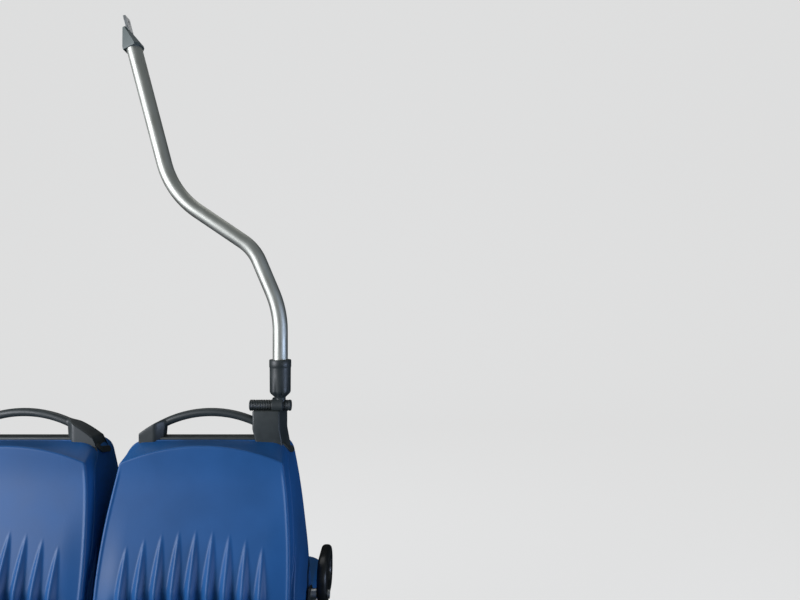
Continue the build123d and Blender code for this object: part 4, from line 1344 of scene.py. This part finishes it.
class SEAT_OT_grab_handles(bpy.types.Operator):
    """Makes both grab handles: bow with solid ends, strip, lug and, on the aisle seat, the tall block"""

    bl_idname = "bus_seat.grab_handles"
    bl_label = "Grab handles"

    def execute(self, context):
        form, sizes = context.scene.bus_seat_form, context.scene.bus_seat_handles
        strip_overlap, block_overlap = 12 * MM, 8 * MM
        foot = back_top() - sizes.end_foot
        shoulder = shoulder_centre(form, shell_half())
        for seat in SEATS:
            tall = seat == "aisle_seat"
            bow_end = sizes.block_left + block_overlap if tall else sizes.right
            strip_end = (sizes.block_left if tall else sizes.slot_right) + strip_overlap
            rows = [
                ("bow", bow_rings(sizes, sizes.left, bow_end, foot)),
                ("strip", strip_rings(
                    sizes, sizes.slot_left - strip_overlap, strip_end, form.cap_depth, back_top())),
                ("lug", lug_rings(sizes, *shoulder, form.shoulder_radius, sizes.end_rear + sizes.edge)),
            ]
            if tall:
                rows.append(("block", block_rings(sizes, sizes.end_rear, foot)))
            for name, rings in rows:
                points, faces = closed_tube(rings)
                replaced = [f"{seat}_handle"] if name == "bow" else []
                seat_piece(context, f"{seat}_handle_{name}", (points + seat_place(form, seat), faces),
                           "dark_plastic", *replaced)
        return {"FINISHED"}


class SEAT_OT_handle_fittings(bpy.types.Operator):
    """Makes the ringed grip, its clamp with the neck, and the stanchion's socket"""

    bl_idname = "bus_seat.handle_fittings"
    bl_label = "Handle fittings"

    def execute(self, context):
        form, sizes = context.scene.bus_seat_form, context.scene.bus_seat_fittings
        neck_overlap, neck_steps = 1 * MM, 48
        seat_x = seat_place(form, "aisle_seat")[0]
        bar_low, bar_high = (np.array(corner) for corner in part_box("ribbed_bar"))
        bar = (bar_low + bar_high) / 2
        for name, rings, node in (
                ("ribbed_grip", grip_rings(sizes, bar_low[0], bar_high[0]), "ribbed_bar"),
                ("grip_clamp", clamp_rings(sizes, seat_x + sizes.clamp_start), "stanchion_clamp")):
            rings[..., 1:] += bar[1:]
            seat_piece(context, name, closed_tube(rings), "dark_plastic", node)

        low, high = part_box("stanchion_socket")
        place = np.array([seat_x + sizes.tube_place, (low.y + high.y) / 2, 0])
        neck = np.array([(sizes.socket_neck / 2, bar[2]), (sizes.socket_neck / 2, low.z + neck_overlap)])
        seat_piece(context, "clamp_neck", closed_tube(lathe(neck, neck_steps) + place), "dark_plastic")
        rings = socket_rings(sizes, low.z, low.z + sizes.socket_height)
        seat_piece(context, "finned_socket", closed_tube(rings + place), "dark_plastic", "stanchion_socket")
        return {"FINISHED"}


class SEAT_OT_stanchion(bpy.types.Operator):
    """Makes the bent stainless tube and its ceiling collar"""

    bl_idname = "bus_seat.stanchion"
    bl_label = "Stanchion"

    def execute(self, context):
        sizes = context.scene.bus_seat_fittings
        tube_steps, collar_sharpness = 64, 15
        path = stanchion_path(context.scene.bus_seat_form, sizes)
        rings, uv = tube_along(path, sizes.tube_diameter / 2, tube_steps)
        seat_piece(context, "bent_stanchion", closed_tube(rings), "stainless_tube", "stanchion_tube", uv=uv)
        seat_piece(context, "stanchion_collar", closed_tube(collar_rings(path)), "collar_grey",
                   "ceiling_collar", sharp=collar_sharpness)
        return {"FINISHED"}


class SEAT_OT_armrest(bpy.types.Operator):
    """Makes the loop armrest on the aisle side"""

    bl_idname = "bus_seat.armrest"
    bl_label = "Armrest"

    def execute(self, context):
        sizes = context.scene.bus_seat_fittings
        low, high = (np.array(corner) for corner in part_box("armrest_loop"))
        high[2] = low[2] + sizes.loop_height
        rings = loop_rings(sizes, low, high)
        faces = grid_faces(*rings.shape[:2], wrap_rows=True, wrap_columns=True)
        seat_piece(context, "loop_armrest", (rings.reshape(-1, 3), faces), "armrest_black", "armrest_loop",
                   body="armrest")
        return {"FINISHED"}


class SEAT_OT_fixings(bpy.types.Operator):
    """Makes the bolt heads under both ends of each seat's rails"""

    bl_idname = "bus_seat.fixings"
    bl_label = "Fixings"

    def execute(self, context):
        sizes = context.scene.bus_seat_fittings
        from_end, downward = 15 * MM, (0, 0, -1)
        head = hexagon_rings(sizes.bolt_head, sizes.bolt_height)
        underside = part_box("aisle_seat_left_rail")[0].z
        for seat in SEATS:
            for side in ("left", "right"):
                low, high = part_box(f"{seat}_{side}_rail")
                for end, y in (("rear", low.y + from_end), ("front", high.y - from_end)):
                    spot = ((low.x + high.x) / 2, y, underside)
                    surface = closed_tube(stand_on(head, spot, downward))
                    seat_piece(context, f"{seat}_{side}_{end}_bolt", surface, "zinc_steel")
        return {"FINISHED"}


class SEAT_OT_frame_finishes(bpy.types.Operator):
    """Gives the frame's own parts their finishes"""

    bl_idname = "bus_seat.frame_finishes"
    bl_label = "Frame finishes"

    def execute(self, context):
        for row in frame["record"]["subparts"]:
            node = frame["nodes"][row["node"]]
            slot_name = row["material_slot"]
            # The tube's finish needs a UV map, which only the new tube has
            if slot_name == "stainless_tube":
                continue
            material = finish(context, slot_name)
            if not node.material_slots:
                node.data.materials.append(material)
            for material_slot in node.material_slots:
                material_slot.material = material
        return {"FINISHED"}


# Each lamp's name, place, target, size in metres, power in watts and colour
LAMPS = (
    ("rear_left", (-3.5, -2.7, 1.6), (-0.3, -0.2, 0.7), 2.4, 228, "#f4f7ff"),
    ("rear_right", (2.2, -3.2, 1.3), (0.0, -0.2, 0.7), 1.2, 5, "#ffffff"),
    ("overhead", (-0.6, 1.2, 3.6), (-0.2, 0.1, 0.8), 2.6, 18, "#ffffff"),
    ("side_right", (2.6, -1.3, 0.6), (0.1, -0.3, 0.6), 0.9, 36, "#c6daff"),
)


def studio_paper(floor):
    """Matt studio paper with a very fine tooth: pale to the camera, dim to what it would light."""
    material, tree, surface = new_finish("studio_paper")
    place = add_node(tree, "ShaderNodeTexCoord").outputs["Object"]
    tooth = add_node(tree, "ShaderNodeTexNoise", inputs={"Vector": place, "Scale": 1 / (4 * MM)})
    tone = add_node(tree, "ShaderNodeMix", {"data_type": "RGBA"}, {
        0: tooth.outputs["Fac"], 6: shade(floor, 0.985), 7: shade(floor, 1.015)})
    dim = add_node(tree, "ShaderNodeBsdfDiffuse", inputs={"Color": linear("#4a4e4e")})
    pale = add_node(tree, "ShaderNodeBsdfDiffuse", inputs={"Color": tone.outputs[2]})
    glow = add_node(tree, "ShaderNodeEmission", inputs={"Color": linear("#ffffff"), "Strength": 0.7})
    lifted = add_node(tree, "ShaderNodeAddShader", inputs={0: pale.outputs[0], 1: glow.outputs[0]})
    path = add_node(tree, "ShaderNodeLightPath")
    seen = add_node(tree, "ShaderNodeMixShader", inputs={
        0: path.outputs["Is Camera Ray"], 1: dim.outputs[0], 2: lifted.outputs[0]})
    tree.links.new(seen.outputs[0], surface)
    return material


def studio_sky():
    """A dim, even sky that the camera sees as pale grey."""
    world = bpy.data.worlds.new("studio")
    world.use_nodes = True
    tree = world.node_tree
    tree.nodes.clear()
    sky = add_node(tree, "ShaderNodeBackground", inputs={"Color": linear("#dfe7e6"), "Strength": 0.24})
    seen = add_node(tree, "ShaderNodeBackground", inputs={"Color": linear("#e9e9e8"), "Strength": 0.9})
    path = add_node(tree, "ShaderNodeLightPath")
    mixed = add_node(tree, "ShaderNodeMixShader", inputs={
        0: path.outputs["Is Camera Ray"], 1: sky.outputs[0], 2: seen.outputs[0]})
    output = add_node(tree, "ShaderNodeOutputWorld")
    tree.links.new(mixed.outputs[0], output.inputs["Surface"])
    return world


class SEAT_OT_stage(bpy.types.Operator):
    """Makes the floor, the backdrop, the lamps and the camera"""

    bl_idname = "bus_seat.stage"
    bl_label = "Stage"

    def execute(self, context):
        stage = context.scene.bus_seat_stage
        self.floor(stage)
        for name, place, target, size, power, tint in LAMPS:
            self.lamp(name, place, target, size, power, tint)
        context.scene.world = studio_sky()
        context.scene.view_settings.view_transform = "Standard"
        self.camera(context.scene, stage)
        return {"FINISHED"}

    def floor(self, stage):
        """A floor that turns up into the backdrop through a quarter circle. Sizes are in metres."""
        depth, front, radius, height, half = stage.floor_depth, -12.0, 4.0, 11.0, 15.0
        turn_steps, columns = 24, 9
        angle = np.linspace(0, pi / 2, turn_steps)
        y = np.concatenate([[front, 0.0], depth - radius + radius * np.sin(angle), [depth]])
        z = np.concatenate([[0.0, 0.0], radius - radius * np.cos(angle), [height]])
        across = np.linspace(-half, half, columns)
        grid = np.stack(np.broadcast_arrays(across, y[:, None], z[:, None]), axis=-1)
        backdrop = add_piece("backdrop", grid.reshape(-1, 3), grid_faces(len(y), columns),
                             studio_paper(stage.floor), (0, 0, 1))

    def lamp(self, name, place, target, size, power, tint):
        """A square soft lamp that looks at a target."""
        data = bpy.data.lights.new(name, "AREA")
        data.shape = "SQUARE"
        data.size = size
        data.energy = power
        data.color = linear(tint)[:3]
        lamp = bpy.data.objects.new(name, data)
        lamp.location = place
        lamp.rotation_euler = (Vector(target) - Vector(place)).to_track_quat("-Z", "Y").to_euler()
        bpy.context.scene.collection.objects.link(lamp)

    def camera(self, scene, stage):
        """The photo's camera, which looks level along the bus."""
        data = bpy.data.cameras.new("photo_camera")
        data.lens = stage.lens
        data.sensor_width = 36.0
        data.shift_x = stage.shift_across
        data.shift_y = stage.shift_up
        data.clip_end = 60.0
        camera = bpy.data.objects.new("photo_camera", data)
        camera.location = (stage.camera_x, stage.camera_y, stage.camera_z)
        camera.rotation_euler = (pi / 2, 0, 0)
        scene.collection.objects.link(camera)
        scene.camera = camera


PIECES = (
    SEAT_OT_frame_finishes, SEAT_OT_rear_panels, SEAT_OT_back_shells, SEAT_OT_cushion_pans,
    SEAT_OT_grab_handles, SEAT_OT_handle_fittings, SEAT_OT_stanchion, SEAT_OT_armrest,
    SEAT_OT_fixings, SEAT_OT_stage,
)


class SEAT_PT_sidebar(bpy.types.Panel):
    """Lists the steps that dress the seat"""

    bl_idname = "SEAT_PT_sidebar"
    bl_label = "Bus double seat"
    bl_space_type = "VIEW_3D"
    bl_region_type = "UI"
    bl_category = "Bus seat"

    def draw(self, context):
        for piece in PIECES:
            self.layout.operator(piece.bl_idname)


GROUPS = {
    "bus_seat_form": SeatForm,
    "bus_seat_handles": HandleSizes,
    "bus_seat_fittings": FittingSizes,
    "bus_seat_colours": SeatColours,
    "bus_seat_stage": StageSettings,
}


def register():
    """Registers the groups, the operators and the panel, and puts the groups on the scene."""
    for item in (*GROUPS.values(), *PIECES, SEAT_PT_sidebar):
        bpy.utils.register_class(item)
    for name, group in GROUPS.items():
        setattr(bpy.types.Scene, name, bpy.props.PointerProperty(type=group))


def unregister():
    """Takes away what register added."""
    for name in GROUPS:
        delattr(bpy.types.Scene, name)
    for item in (SEAT_PT_sidebar, *PIECES[::-1], *GROUPS.values()):
        bpy.utils.unregister_class(item)


def main():
    """Registers the add-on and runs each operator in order."""
    register()
    for piece in PIECES:
        group, name = piece.bl_idname.split(".")
        getattr(getattr(bpy.ops, group), name)()


if __name__ == "__main__":
    main()
